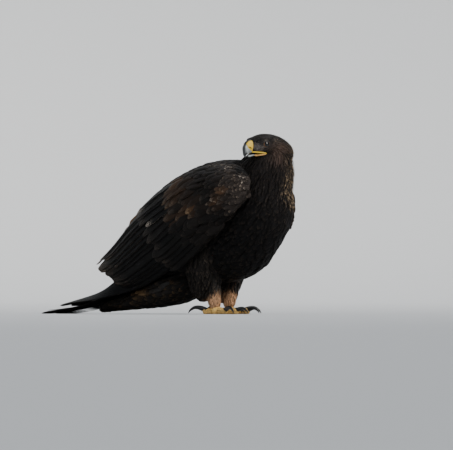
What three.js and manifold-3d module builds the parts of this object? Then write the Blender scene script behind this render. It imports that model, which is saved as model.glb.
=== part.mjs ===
// A golden eagle at life size, standing with its head turned over its right shoulder.
// Millimetres, +Z up. The bird faces -Y and its left side is +X.
import * as THREE from "three";
import { mergeVertices } from "three/addons/utils/BufferGeometryUtils.js";
import Module from "manifold-3d";

const wasm = await Module();
wasm.setup();

// Driving measures
const GAP = 0.4; // clearance between neighbouring pieces
const BODY_ROLL = 7; // degrees that the left side leans down in front
const ROLL_FADES = [60, 330]; // the lean fades out between these Y
const HEAD_TURN = -112; // degrees, over the right shoulder
const HEAD_NOD = 5;
const HEAD_PLACE = [-4, -122, 416];
const HACKLE_DEPTH = 7; // room kept round the neck for its hackles
const NECK_END = 0.34; // share of the trunk's stations that is neck
const LEG_SPREAD = 39; // half the distance between the feet
const FOOT_Y = -3;
// How far each foot stands from its even place: [inwards, backwards]
const LEFT_STEP = [-7, 6];
const RIGHT_STEP = [1, 0];
const LEFT_KNEE = -10; // how far the left leg bends forward between its foot and the body
const RIGHT_KNEE = 0;
const KNEE_HEIGHTS = [10, 75, 130, 200]; // where the bend begins, is whole, fades and ends
const STEP_STARTS = 90; // height below which the leg leans to that place
const LOCK_ROOM = 8.5; // room kept round a thigh for its locks
const EYE_RADIUS = 12.5;
const EYE_PLACE = [21.5, -16, 6.5];
const BILL_START = [0, -55.5, 3]; // the horn begins ahead of this place of the head
const CERE_LEAN = 0.55; // how far the cere's front leans forward, per height
const SECONDARIES = 7;
const GREATER_COVERTS = 6;
const PRIMARIES = 6;
const QUILL_STACK = 1.7; // each primary lies this far under the next
const RECTRICES = 12;
const FLOOR_CUT = 400; // size of the block that grinds the soles flat
const LID_RADIUS = 10.6;
const LID_THICK = 2.3;
const LID_OUT = 6.5; // how far the lid lies ahead of the eye's centre
const NOSTRIL_PLACE = [12.4, -51, 1.6];
const HEEL_PAD = 12; // radius of the pad where the toes meet

// Stations along a tube: [x, y, z, half width, radius above, radius below]
const TRUNK = [
  [10, -132, 414, 36, 32, 34],
  [9, -131, 399, 53, 55, 53],
  [5, -128, 375, 61, 76, 65],
  [0, -117, 335, 68, 88, 82],
  [0, -88, 292, 84, 92, 132],
  [0, -30, 255, 86, 98, 169],
  [0, 50, 212, 80, 118, 153],
  [0, 130, 167, 72, 118, 98],
  [0, 200, 130, 60, 86, 62],
  [0, 255, 100, 44, 50, 36],
  [0, 290, 84, 28, 26, 22],
];
const RIGHT_WING = [
  [0, -150, 305, 104, 60, 78],
  [0, -80, 280, 120, 114, 110],
  [0, 0, 240, 125, 147, 125],
  [0, 90, 190, 119, 154, 118],
  [0, 180, 140, 106, 134, 98],
  [0, 270, 95, 86, 96, 72],
  [0, 360, 56, 66, 64, 44],
  [0, 460, 24, 46, 22, 20],
];
const LEFT_WING = [
  [0, -156, 298, 112, 68, 150],
  [0, -88, 274, 132, 118, 180],
  [0, 0, 240, 129, 147, 150],
  [0, 90, 190, 119, 154, 118],
  [0, 180, 140, 106, 134, 98],
  [0, 270, 95, 86, 96, 72],
  [0, 360, 56, 66, 64, 44],
  [0, 460, 24, 46, 22, 20],
];
const HAND_DEPTH = 25; // how far the hand lies under the arm
// The line of the primaries on one side: x, y, z, and degrees that their outer face looks up
const HAND_LINE = [
  [81, 61, 151, -31],
  [72, 140, 115, -22],
  [65, 215, 85.5, 0],
  [59, 290, 63, 35],
  [47, 350, 44, 58],
  [39, 410, 31, 70],
  [31, 466, 22, 76],
];
const HAND_MIDDLE = [240, -0.53]; // height of the body's middle at Y 0, and its fall with Y
const THIGH = [
  [52, 10, 200, 26, 40, 32],
  [55, 10, 165, 29, 54, 36],
  [54, 15, 125, 31, 62, 31],
  [47, 20, 94, 29, 62, 40],
  [42, 30, 64, 27, 50, 38],
  [41, 43, 36, 18, 30, 24],
];
const TARSUS = [
  [41, 12, 84, 15, 18, 18],
  [40.5, 9, 62, 18, 21, 21],
  [40, 4, 38, 17, 19, 19],
  [39.5, -1, 13, 14.5, 15.5, 16],
];
const VENT = [
  [0, 50, 104, 38, 30, 44],
  [0, 110, 78, 54, 42, 48],
  [0, 190, 55, 54, 34, 40],
  [0, 270, 35, 48, 20, 25],
  [0, 350, 16, 34, 8, 11],
];
const SKULL = [
  [0, -50, 3.4, 14.6, 16.6, 15.6],
  [0, -36, 2, 25, 28, 24],
  [0, -18, 0, 34, 33, 32],
  [0, 2, 0, 39, 33, 36],
  [0, 25, -4, 41, 30.5, 38],
  [0, 46, -16, 36, 27, 37],
  [0, 62, -40, 30, 23, 32],
];
const BEAK = [
  [0, -66, -22.5, 0.9, 0.9, 0.9],
  [0, -66.6, -16.6, 3.2, 4, 5],
  [0, -65.1, -9.7, 6, 6.4, 10.3],
  [0, -60.6, -1.6, 9, 11.4, 14],
  [0, -51.7, 2.7, 11.6, 15.8, 15.6],
  [0, -43.2, 3.7, 12.8, 15.1, 15.1],
  [0, -34, 3.6, 13.2, 13.6, 13.6],
];
const MANDIBLE = [
  [0, -58, -18.8, 2.6, 2.4, 2.4],
  [0, -52, -18.8, 6, 4.9, 3.8],
  [0, -43, -18, 9.2, 5.6, 5.2],
  [0, -31, -16.5, 10.8, 5, 8.6],
];
const UPPER_LIP = [
  [12, -47.6, -9.4, 2, 1.9, 2.2],
  [19.5, -38.5, -10.8, 2.2, 2, 2.3],
  [26.8, -28.6, -12.8, 2.1, 1.9, 2.1],
  [32.4, -18.6, -15.3, 1.7, 1.6, 1.7],
];
const LOWER_LIP = [
  [10, -46, -18.9, 2.1, 2.2, 2.4],
  [18.5, -37.5, -18.8, 2.5, 2.3, 2.6],
  [26.5, -28.3, -18.4, 2.3, 2, 2.4],
  [32.4, -18.6, -18.2, 1.6, 1.4, 1.7],
];
const LIP_ROOM = [
  [9, -48.5, -14, 5, 7, 8],
  [18.5, -38.5, -14.5, 5.5, 6.5, 7.5],
  [26, -28.6, -15.2, 5.5, 6, 7],
  [33, -17.5, -16.5, 5, 5, 5.5],
];
const BROW = [
  [19, -42, 15, 3, 3, 3],
  [25, -31, 20, 4.6, 4.6, 5],
  [30.5, -15, 21.6, 4.6, 4.4, 5],
  [33, 3, 21, 3, 3, 4],
];
const MIDDLE_TOE = [
  [0, -62, 6.6, 5, 5.4, 6.8],
  [0, -52, 7.6, 6.3, 6.8, 7.8],
  [0, -41, 7.4, 5.4, 5.8, 7.6],
  [0, -29, 8.2, 6.7, 7.2, 8.4],
  [0, -17, 8.6, 6, 7, 8.8],
  [0, 0, 11, 8.4, 9, 11.2],
];
const TOE_SLIT = 4; // how far the claw starts behind the toe's tip
// name, degrees from straight ahead towards the bird's left, toe share, claw share
const TOES = [
  ["inner", 28, 0.76, 1.15],
  ["middle", -2, 1, 0.95],
  ["outer", -32, 0.78, 0.8],
  ["hind", 172, 0.6, 1.3],
];
const CLAW = [
  [0, -33, 1.6, 0.5, 0.5, 0.5],
  [0, -28, 9, 2.2, 2.4, 2.2],
  [0, -18, 14.5, 3.7, 4, 3.8],
  [0, -6, 13, 4.8, 5.2, 5.4],
  [0, 6, 8, 5, 5.4, 6],
];
// Outlines of a vane: shares of its length, of its half width and of its rise
const FLIGHT = [
  [0, 0.4, 0],
  [0.3, 0.95, 0.3],
  [0.65, 1, 0.65],
  [0.92, 0.76, 0.92],
  [1, 0.24, 1],
];
const QUILL = [
  [0, 0.4, 0],
  [0.4, 1, 0.4],
  [0.85, 0.88, 0.85],
  [1, 0.24, 1],
];
const COVERT = [
  [0, 0.4, 0],
  [0.15, 0.75, 0.7],
  [0.72, 0.95, 0.9],
  [1, 0.2, 1],
];
const LANCE = [
  [0, 0.5, 0],
  [0.2, 1, 0.8],
  [1, 0.12, 1],
];
// Forms of the feathers: half width, outline and thickness; tilt laps each over the next
const SECONDARY = { half: 28, outline: FLIGHT, thick: 1.1, tilt: 0.18, columns: 3 };
const GREATER_COVERT = { half: 23, outline: COVERT, thick: 1.3, tilt: 0.15 };
const LESSER_COVERT = { half: 17, outline: COVERT, thick: 1.2 };
const PRIMARY = { half: 17, outline: QUILL, thick: 1.1 };
const RECTRIX = { half: 23, outline: QUILL, thick: 1.1 };
const MANTLE_FEATHER = { half: 14, outline: COVERT, thick: 1.4 };
const VENT_FEATHER = { half: 14, outline: COVERT, thick: 1.4 };
const NAPE_LOCK = { half: 10, outline: LANCE, thick: 1.4 };
const HACKLE = { half: 13, outline: LANCE, thick: 1.5 };
const THIGH_LOCK = { half: 12, outline: LANCE, thick: 1.5 };
const SHANK_LOCK = { half: 7, outline: LANCE, thick: 1.3 };
// Rows of small feathers: where along the part each row has its roots, and how many
const NAPE_ROWS = [[0.58, 3], [0.7, 3]];
const HACKLE_ROWS = [[0.1, 5], [0.16, 5], [0.22, 5]];
const LESSER_ROWS = [[0.08, 4], [0.155, 5], [0.23, 5]];
const MANTLE_ROWS = [[0.16, 4], [0.32, 3], [0.48, 4]];
const VENT_ROWS = [[0.25, 3], [0.45, 3]];
const THIGH_ROWS = [[0.42, 5], [0.6, 5]];
const SHANK_ROWS = [[0.58, 5]];

const { clamp, lerp, degToRad, smoothstep } = THREE.MathUtils;
const X_AXIS = new THREE.Vector3(1, 0, 0);

let seed = 11;
function vary(amount) {
  seed = (seed * 16807) % 2147483647;
  return amount * ((2 * seed) / 2147483647 - 1);
}

// Rows of numbers as one smooth function of 0 to 1
function through(rows) {
  const last = rows.length - 1;
  const row = (k) => rows[clamp(k, 0, last)];
  return (t) => {
    const place = clamp(t, 0, 1) * last;
    const i = Math.min(Math.floor(place), last - 1);
    const f = place - i;
    return rows[0].map((_, c) => {
      const [a, b, d, e] = [i - 1, i, i + 1, i + 2].map((k) => row(k)[c]);
      const bend = 2 * a - 5 * b + 4 * d - e;
      return b + 0.5 * f * (d - a + f * (bend + f * (3 * (b - d) + e - a)));
    });
  };
}

// A tube through stations: its surface point at t along, at an angle round, lifted off
function sleeve(stations, roll = () => 0) {
  const row = through(stations);
  const centre = (t) => new THREE.Vector3(...row(t).slice(0, 3));
  return (t, angle, lift = 0, shrink = 1) => {
    const [x, y, z, wide, up, down] = row(t);
    const ahead = centre(Math.min(t + 0.01, 1)).sub(centre(Math.max(t - 0.01, 0)));
    ahead.normalize();
    const side = X_AXIS.clone().addScaledVector(ahead, -ahead.x).normalize();
    const over = side.clone().cross(ahead);
    const high = Math.sin(angle) > 0 ? up : down;
    const across = (wide + lift) * shrink * Math.cos(angle);
    const above = (high + lift) * shrink * Math.sin(angle);
    const spin = degToRad(-roll(y));
    return new THREE.Vector3(x, y, z)
      .addScaledVector(side, across * Math.cos(spin) - above * Math.sin(spin))
      .addScaledVector(over, across * Math.sin(spin) + above * Math.cos(spin));
  };
}

// A closed geometry as a solid, turned right side out
function solid(geometry) {
  const bare = new THREE.BufferGeometry();
  bare.setAttribute("position", geometry.getAttribute("position"));
  bare.setIndex(geometry.index);
  const merged = mergeVertices(bare, 1e-3);
  const vertProperties = merged.attributes.position.array;
  const triVerts = new Uint32Array(merged.index.array);
  const make = () => new wasm.Manifold(new wasm.Mesh({ numProp: 3, vertProperties, triVerts }));
  const first = make();
  if (first.volume() > 0) return first;
  triVerts.reverse();
  return make();
}

// A ball whose vertices are moved to place(t, angle, dome), where dome rounds both ends
function closedTube(place, around, along, ends = [0.1, 0.1]) {
  const geometry = new THREE.SphereGeometry(1, around, along);
  const spots = geometry.getAttribute("position");
  for (let i = 0; i < spots.count; i++) {
    const t = clamp((1 - spots.getY(i)) / 2, 0, 1);
    const angle = Math.atan2(spots.getZ(i), spots.getX(i));
    const near = Math.min(1, t / ends[0], (1 - t) / ends[1]);
    const dome = Math.sqrt(1 - (1 - near) ** 2);
    spots.setXYZ(i, ...place(t, angle, dome).toArray());
  }
  return solid(geometry);
}

const tube = (surface, around, along, lift = 0, ends = undefined) =>
  closedTube((t, a, dome) => surface(t, a, lift, dome), around, along, ends);

// A flat pod on a field, between two edges, rounded all round
function pod(field, [from, to], low, high, lift, half, around, along) {
  return closedTube(
    (t, a, dome) => {
      const s = lerp(from, to, t);
      const middle = (low(s) + high(s)) / 2;
      const reach = ((high(s) - low(s)) / 2) * dome * Math.cos(a);
      return field(s, middle + reach, lift + half * dome * Math.sin(a));
    },
    around,
    along,
    [0.16, 0.2],
  );
}

// A feather on a field, from its root to its tip, each [along, across, lift].
// Tilt lowers the edge on the side of rising across.
function vane(field, { root, tip, half, outline, thick, tilt = 0, columns = 2 }) {
  const spots = [];
  for (const [t, share, rise] of outline) {
    const [s, b] = root.map((from, k) => lerp(from, tip[k], t));
    const lift = lerp(root[2], tip[2], rise);
    const span = field(s, b + 0.5, lift).distanceTo(field(s, b - 0.5, lift));
    const thin = (thick / 2) * (t === 1 ? 0.6 : 1);
    for (let c = 0; c < columns; c++) {
      const reach = half * share * ((2 * c) / (columns - 1) - 1);
      for (const face of [1, -1]) {
        const height = lift - tilt * reach + face * thin;
        spots.push(...field(s, b + reach / span, height).toArray());
      }
    }
  }
  // Corners run across a ring in pairs, the upper one first
  const ringSize = 2 * columns;
  const index = [];
  const quad = (a, b, c, d) => index.push(a, b, c, a, c, d);
  for (let r = 0; r < outline.length - 1; r++) {
    const [here, next] = [r * ringSize, (r + 1) * ringSize];
    for (let c = 0; c < ringSize - 2; c += 2) {
      quad(here + c, here + c + 2, next + c + 2, next + c);
      index.push(here + c + 1, next + c + 3, here + c + 3);
      index.push(here + c + 1, next + c + 1, next + c + 3);
    }
    const edge = ringSize - 2;
    quad(here, next, next + 1, here + 1);
    quad(here + edge, here + edge + 1, next + edge + 1, next + edge);
  }
  const end = (outline.length - 1) * ringSize;
  for (let c = 0; c < ringSize - 2; c += 2) {
    quad(c, c + 1, c + 3, c + 2);
    quad(end + c, end + c + 2, end + c + 3, end + c + 1);
  }
  const geometry = new THREE.BufferGeometry();
  geometry.setAttribute("position", new THREE.Float32BufferAttribute(spots, 3));
  geometry.setIndex(index);
  return solid(geometry);
}

// Pieces fused into one solid, of which the largest closed surface is kept
const largest = (made) => made.decompose().reduce((a, b) => (b.volume() > a.volume() ? b : a));
const fuse = (...pieces) => largest(wasm.Manifold.union(pieces.flat()));
const cut = (made, ...tools) => largest(tools.flat().reduce((a, b) => a.subtract(b), made));

// A solid moved by a matrix
function moved(made, matrix) {
  const { vertProperties, triVerts } = made.getMesh();
  new THREE.BufferAttribute(vertProperties, 3).applyMatrix4(matrix);
  if (matrix.determinant() < 0) triVerts.reverse();
  return new wasm.Manifold(new wasm.Mesh({ numProp: 3, vertProperties, triVerts }));
}
const mirrored = (made) => moved(made, new THREE.Matrix4().makeScale(-1, 1, 1));

function ball(radius, place, around = 12, along = 8) {
  const geometry = new THREE.SphereGeometry(radius, around, along);
  geometry.translate(...place);
  return solid(geometry);
}

const floorBlock = solid(
  new THREE.BoxGeometry(2 * FLOOR_CUT, 4 * FLOOR_CUT, FLOOR_CUT).translate(0, 0, -FLOOR_CUT / 2),
);

// Trunk, in two pieces that part along a plane square to the spine
const lean = (y) => BODY_ROLL * (1 - smoothstep(y, ...ROLL_FADES));
const trunkSkin = sleeve(TRUNK, lean);
const onTrunk = (s, degrees, lift) => trunkSkin(s, degToRad(degrees), lift);
const trunkTube = (lift) => tube(trunkSkin, 20, 16, lift, [0.05, 0.08]);
const trunkWhole = trunkTube(0);
const trunkGrown = trunkTube(GAP);
const neckFoot = trunkSkin(NECK_END, 0, 0, 0);
const neckAhead = trunkSkin(NECK_END + 0.02, 0, 0, 0).sub(neckFoot).normalize();
const neckPlane = neckFoot.dot(neckAhead);
const belowNeck = neckAhead.toArray();
const aboveBody = neckAhead.clone().negate().toArray();
const neckRoom = trunkTube(HACKLE_DEPTH).trimByPlane(aboveBody, -neckPlane);

// Head, built facing -Y about its own centre and then turned
const headTurn = new THREE.Matrix4()
  .makeTranslation(...HEAD_PLACE)
  .multiply(new THREE.Matrix4().makeRotationZ(degToRad(HEAD_TURN)))
  .multiply(new THREE.Matrix4().makeRotationX(degToRad(HEAD_NOD)));
const placeHead = (made) => moved(made, headTurn);

function buildHead() {
  const skullSkin = sleeve(SKULL);
  const pair = (stations, lift = 0) => {
    const one = tube(sleeve(stations), 6, 6, lift, [0.15, 0.15]);
    return [one, mirrored(one)];
  };
  const both = (made) => [made, mirrored(made)];
  const skull = (lift) => tube(skullSkin, 14, 11, lift, [0.09, 0.14]);
  const bill = (lift) => tube(sleeve(BEAK), 12, 11, lift, [0.04, 0.04]);
  const chin = (lift) => tube(sleeve(MANDIBLE), 8, 5, lift, [0.1, 0.1]);
  const billRoom = tube(sleeve(BEAK.slice(-3)), 12, 7, GAP + 0.9, [0.02, 0.02]);
  const lipRoom = tube(sleeve(LIP_ROOM), 6, 5, GAP, [0.15, 0.15]);
  const eyeAxis = new THREE.Vector3(1, -0.3, 0.02).normalize();
  const lidTurn = new THREE.Quaternion().setFromUnitVectors(new THREE.Vector3(0, 0, 1), eyeAxis);
  const lidAt = new THREE.Vector3(...EYE_PLACE).addScaledVector(eyeAxis, LID_OUT);
  const lid = solid(
    new THREE.TorusGeometry(LID_RADIUS, LID_THICK, 4, 12)
      .applyQuaternion(lidTurn)
      .translate(...lidAt.toArray()),
  );
  const onSkull = (s, degrees, lift) => skullSkin(s, degToRad(degrees), lift);
  const nape = [];
  for (const [r, [s, count]] of NAPE_ROWS.entries()) {
    for (let k = 0; k < count; k++) {
      const degrees = 90 + (k - 1.25 + 0.5 * r) * 44;
      const tip = [s + 0.2 + vary(0.02), degrees, 2];
      nape.push(vane(onSkull, { ...NAPE_LOCK, root: [s, degrees, -5], tip }));
    }
  }
  const slant = new THREE.Matrix4()
    .makeTranslation(...NOSTRIL_PLACE)
    .multiply(new THREE.Matrix4().makeRotationX(degToRad(-33)))
    .multiply(new THREE.Matrix4().makeScale(1.6, 1.6, 0.75));
  const nostrilHole = moved(ball(2.1, [0, 0, 0], 8, 6), slant);
  const ahead = new THREE.Vector3(0, -1, -CERE_LEAN).normalize();
  const front = ahead.dot(new THREE.Vector3(...BILL_START));
  const horn = bill(0).trimByPlane(ahead.toArray(), front + GAP / 2);
  const cereTube = bill(0.5).trimByPlane(ahead.clone().negate().toArray(), GAP / 2 - front);
  const cere = cut(fuse(cereTube, pair(UPPER_LIP)), both(nostrilHole));
  const mandible = cut(fuse(chin(0), pair(LOWER_LIP)), bill(GAP + 0.5), pair(UPPER_LIP, GAP + 0.3));
  const grown = [billRoom, ...both(lipRoom), chin(GAP + 0.2)];
  const head = cut(
    fuse(skull(0), pair(BROW), both(lid), nape),
    both(ball(EYE_RADIUS + GAP, EYE_PLACE)),
    grown,
  );
  const room = [skull(GAP), billRoom, ...both(lipRoom), chin(GAP + 0.2)];
  return { head, room, eye: ball(EYE_RADIUS, EYE_PLACE), horn, cere, mandible };
}

// Neck with its hackles
function buildNeck(headRoom) {
  const base = trunkWhole.trimByPlane(aboveBody, GAP / 2 - neckPlane);
  const hackles = [];
  for (const [r, [s, count]] of HACKLE_ROWS.entries()) {
    for (let k = 0; k < count; k++) {
      const degrees = 90 + (k - 2.25 + 0.5 * (r % 2)) * 40 + vary(3);
      const tip = [s + 0.08 + vary(0.01), degrees, 5];
      hackles.push(vane(onTrunk, { ...HACKLE, root: [s, degrees, -5], tip }));
    }
  }
  return cut(fuse(base, hackles), headRoom);
}

// The flat ribbon that a folded hand's quills lie on
function handLine(side) {
  const row = through(HAND_LINE);
  const spotOf = (s) => new THREE.Vector3(...row(s).slice(0, 3));
  return (s, reach, lift) => {
    const turn = degToRad(row(s)[3]);
    const ahead = spotOf(Math.min(s + 0.02, 1)).sub(spotOf(Math.max(s - 0.02, 0))).normalize();
    const out = new THREE.Vector3(Math.cos(turn), 0, Math.sin(turn));
    out.addScaledVector(ahead, -out.dot(ahead)).normalize();
    const spot = spotOf(s)
      .addScaledVector(out.clone().cross(ahead), -reach)
      .addScaledVector(out, lift);
    const spin = degToRad(-lean(spot.y));
    const middle = HAND_MIDDLE[0] + HAND_MIDDLE[1] * spot.y;
    const [x, z] = [side * spot.x, spot.z - middle];
    spot.x = x * Math.cos(spin) - z * Math.sin(spin);
    spot.z = middle + x * Math.sin(spin) + z * Math.cos(spin);
    return spot;
  };
}

// One wing: the arm carries the coverts and secondaries, and the hand under it the primaries
function buildWing(stations, side) {
  const under = ([x, y, z, ...radii]) => [x, y, z, ...radii.map((r) => Math.max(r - HAND_DEPTH, 9))];
  const onSide = (sheet) => (s, degrees, lift) =>
    sheet(s, degToRad(side > 0 ? degrees : 180 - degrees), lift);
  const outer = onSide(sleeve(stations, lean));
  const inner = onSide(sleeve(stations.map(under), lean));
  const low = (s) => -47 * (s / 0.5) ** 0.52;
  const high = (s) => 70 - 45 * Math.exp(-s / 0.08);
  const armPod = (grow) => pod(outer, [0.03, 0.5], low, high, -9, 9 + grow, 10, 8);
  const feathers = [];
  for (let k = 0; k < SECONDARIES; k++) {
    const f = k / (SECONDARIES - 1);
    const root = [0.36, lerp(52, low(0.36) + 20, f), -10];
    const tip = [0.815 - 0.12 * f + vary(0.01), lerp(64, low(0.5) + 28, f), -5];
    feathers.push(vane(outer, { ...SECONDARY, root, tip }));
  }
  for (let k = 0; k < GREATER_COVERTS; k++) {
    const f = (k + 0.5) / GREATER_COVERTS;
    const root = [0.31, lerp(54, low(0.3) + 5, f), -7];
    const tip = [0.53 - 0.04 * f + vary(0.008), lerp(58, low(0.5) + 4, f), 4];
    feathers.push(vane(outer, { ...GREATER_COVERT, root, tip }));
  }
  for (const [s, count] of LESSER_ROWS) {
    for (let k = 0; k < count; k++) {
      const degrees = lerp(high(s) - 8, low(s) + 6, (k + 0.5) / count) + vary(1);
      const tip = [s + 0.13 + vary(0.01), degrees, 7];
      feathers.push(vane(outer, { ...LESSER_COVERT, root: [s, degrees, -6], tip }));
    }
  }
  const handHigh = (s) => low(s) + 26;
  const handLow = (s) => low(s) - 1;
  const handPod = (grow) => pod(inner, [0.05, 0.5], handLow, handHigh, 0, 6 + grow, 10, 7);
  const bundle = handLine(side);
  const quills = [];
  for (let k = 0; k < PRIMARIES; k++) {
    const f = k / (PRIMARIES - 1);
    const lift = 4.3 - QUILL_STACK * k;
    const root = [0.06, lerp(12, -12, f), lift];
    const tip = [lerp(0.86, 0.995, Math.sin((f * Math.PI) / 1.7)), lerp(11, -9, f), lift];
    quills.push(vane(bundle, { ...PRIMARY, root, tip }));
  }
  const edgeRoom = pod(outer, [0.03, 0.6], (s) => low(s) - 22, (s) => low(s) + 14, -6, 14, 10, 7);
  return {
    arm: fuse(armPod(0), feathers),
    room: [armPod(GAP), handPod(GAP), edgeRoom],
    hand: cut(fuse(handPod(0), quills), armPod(GAP)),
  };
}

// Mantle and scapulars, on the back between the wings
function buildMantle() {
  const sheet = sleeve(RIGHT_WING, lean);
  const onBack = (s, degrees, lift) => sheet(s, degToRad(degrees), lift);
  const low = (s) => 61 + 50 * Math.max(0, s - 0.3) - 28 * Math.exp(-s / 0.07);
  const high = (s) => 180 - low(s);
  const back = (grow) => pod(onBack, [0.03, 0.66], low, high, -15, 17 + grow, 12, 8);
  const feathers = [];
  for (const [r, [s, count]] of MANTLE_ROWS.entries()) {
    for (let k = 0; k < count; k++) {
      const degrees = lerp(70, 110, (k + 0.5) / count) + vary(1);
      const tip = [s + 0.14 + 0.02 * r + vary(0.01), degrees, 9];
      feathers.push(vane(onBack, { ...MANTLE_FEATHER, root: [s, degrees, -4], tip }));
    }
  }
  return { mantle: fuse(back(0), feathers), mantleRoom: back(GAP) };
}

// Tail, laid on the floor at its end. Each feather tilts over the next one out,
// and one of the middle pair lies on top of all.
const TAIL_TILT = 0.1;
const TAIL_STACK = 1;
const TAIL_LIFT = 5;
const TAIL_TOP = TAIL_LIFT + 3;
const TAIL_DROP = 2.6; // the left side passes under the right
// [y, z] along its upper line
const TAIL_LINE = [
  [205, 104],
  [262, 66],
  [330, 33],
  [400, 13],
  [460, 4.5],
  [512, 0.6],
];
const tailRow = through(TAIL_LINE);
function onTail(s, across, lift) {
  const [y, z] = tailRow(s);
  const [y0, z0] = tailRow(s - 0.02);
  const [y1, z1] = tailRow(s + 0.02);
  const ahead = new THREE.Vector2(y1 - y0, z1 - z0).normalize();
  return new THREE.Vector3(across, y - ahead.y * lift, z + ahead.x * lift);
}
function buildTail(grow) {
  const rump = closedTube(
    (t, a, dome) => {
      const lift = 5 + (9 + grow) * dome * Math.sin(a);
      return onTail(0.3 * t, (30 + grow) * dome * Math.cos(a), lift);
    },
    10,
    6,
    [0.3, 0.4],
  );
  const vanes = [rump];
  for (let k = 0; k < RECTRICES; k++) {
    const off = k - (RECTRICES - 1) / 2;
    const rank = Math.abs(off);
    const top = k === (RECTRICES / 2) - 1;
    const lift = top ? TAIL_TOP : TAIL_LIFT - TAIL_STACK * rank - (off > 1 ? TAIL_DROP : 0);
    const tip = [1 - 0.002 * rank * rank, off * 10.5, lift];
    const root = [0, off * 4.6, lift + 3];
    const tilt = top ? 0 : -TAIL_TILT * Math.sign(off);
    const size = { half: RECTRIX.half + grow, thick: RECTRIX.thick + 2 * grow };
    vanes.push(vane(onTail, { ...RECTRIX, ...size, root, tip, tilt }));
  }
  return fuse(vanes);
}

// The vent and the coverts under the tail
function buildVent() {
  const skin = sleeve(VENT);
  const onVent = (s, degrees, lift) => skin(s, degToRad(degrees), lift);
  const body = tube(skin, 12, 9, 0, [0.15, 0.1]);
  const feathers = [];
  for (const [s, count] of VENT_ROWS) {
    for (let k = 0; k < count; k++) {
      const degrees = -145 + 55 * k + vary(2);
      const tip = [s + 0.36 + vary(0.02), lerp(degrees, -90, 0.2), 4];
      feathers.push(vane(onVent, { ...VENT_FEATHER, root: [s, degrees, -5], tip }));
    }
  }
  return fuse(body, feathers);
}

// A leg, built on the left side; step moves its foot inwards and backwards
function buildLeg([stepIn, stepBack], knee) {
  const lowered = ([x, y, z, ...radii]) => {
    const share = clamp(1 - z / STEP_STARTS, 0, 1);
    const [low, high, fade, end] = KNEE_HEIGHTS;
    const bend = knee * smoothstep(z, low, high) * (1 - smoothstep(z, fade, end));
    return [x + stepIn * share, y + stepBack * share + bend, z, ...radii];
  };
  const thighSkin = sleeve(THIGH.map(lowered));
  const tarsusSkin = sleeve(TARSUS.map(lowered));
  const thighTube = (lift) => tube(thighSkin, 12, 8, lift, [0.2, 0.12]);
  const tarsusTube = (lift) => tube(tarsusSkin, 10, 6, lift, [0.2, 0.25]);
  const onThigh = (s, degrees, lift) => thighSkin(s, degToRad(degrees), lift);
  const onTarsus = (s, degrees, lift) => tarsusSkin(s, degToRad(degrees), lift);
  const locks = [];
  for (const [r, [s, count]] of THIGH_ROWS.entries()) {
    for (let k = 0; k < count; k++) {
      const degrees = (360 / count) * (k + 0.5 * r) + vary(3);
      const tip = [Math.min(0.99, s + 0.28 + vary(0.03)), degrees, 5];
      locks.push(vane(onThigh, { ...THIGH_LOCK, root: [s, degrees, -5], tip }));
    }
  }
  const skirt = [];
  for (const [s, count] of SHANK_ROWS) {
    for (let k = 0; k < count; k++) {
      const degrees = (360 / count) * k + 20 + vary(4);
      const tip = [s + 0.28, degrees, 3];
      skirt.push(vane(onTarsus, { ...SHANK_LOCK, root: [s, degrees, -4], tip }));
    }
  }
  const footAt = [LEG_SPREAD + stepIn, FOOT_Y + stepBack, 0];
  const toeSkin = sleeve(MIDDLE_TOE);
  const clawSkin = sleeve(CLAW);
  const claws = {};
  const toes = [ball(HEEL_PAD, [footAt[0], footAt[1], 9], 8, 6)];
  for (const [name, degrees, toeShare, clawShare] of TOES) {
    const turn = new THREE.Matrix4()
      .makeTranslation(...footAt)
      .multiply(new THREE.Matrix4().makeRotationZ(degToRad(degrees)));
    const toeForm = turn.clone().multiply(new THREE.Matrix4().makeScale(1, toeShare, 1));
    const toe = (lift) => moved(tube(toeSkin, 7, 6, lift, [0.1, 0.1]), toeForm);
    const thin = Math.sqrt(clawShare);
    const start = MIDDLE_TOE[0][1] * toeShare + TOE_SLIT;
    const clawForm = turn
      .multiply(new THREE.Matrix4().makeTranslation(0, start, 0))
      .multiply(new THREE.Matrix4().makeScale(thin, clawShare, thin));
    toes.push(toe(0));
    const claw = moved(tube(clawSkin, 6, 6, 0, [0.04, 0.05]), clawForm);
    claws[name] = cut(claw, toe(GAP), floorBlock);
  }
  return {
    thigh: cut(fuse(thighTube(0), locks), tarsusTube(GAP)),
    thighRoom: thighTube(LOCK_ROOM),
    tarsus: cut(fuse(tarsusTube(0), cut(fuse(skirt), thighTube(GAP))), floorBlock),
    foot: cut(fuse(toes), tarsusTube(GAP), floorBlock),
    claws,
  };
}

// Colours and finishes of the solids
const finish = (color, roughness) =>
  new THREE.MeshStandardMaterial({ color, roughness, metalness: 0 });
const DARK_BROWN = finish(0x241d19, 0.75);
const WING_BROWN = finish(0x33281f, 0.7);
const FLIGHT_BLACK = finish(0x1a1716, 0.6);
const NAPE_GOLD = finish(0x3f3024, 0.75);
const LEG_TAN = finish(0x7d5f46, 0.85);
const TOE_YELLOW = finish(0xc79a3e, 0.5);
const CERE_YELLOW = finish(0xd2b44c, 0.45);
const HORN_GREY = finish(0x4a4d50, 0.35);
const CLAW_BLACK = finish(0x121214, 0.3);
const EYE_BROWN = finish(0x3b2110, 0.08);

const nodes = [];
const add = (name, made, material) => nodes.push({ name, made, material });

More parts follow.
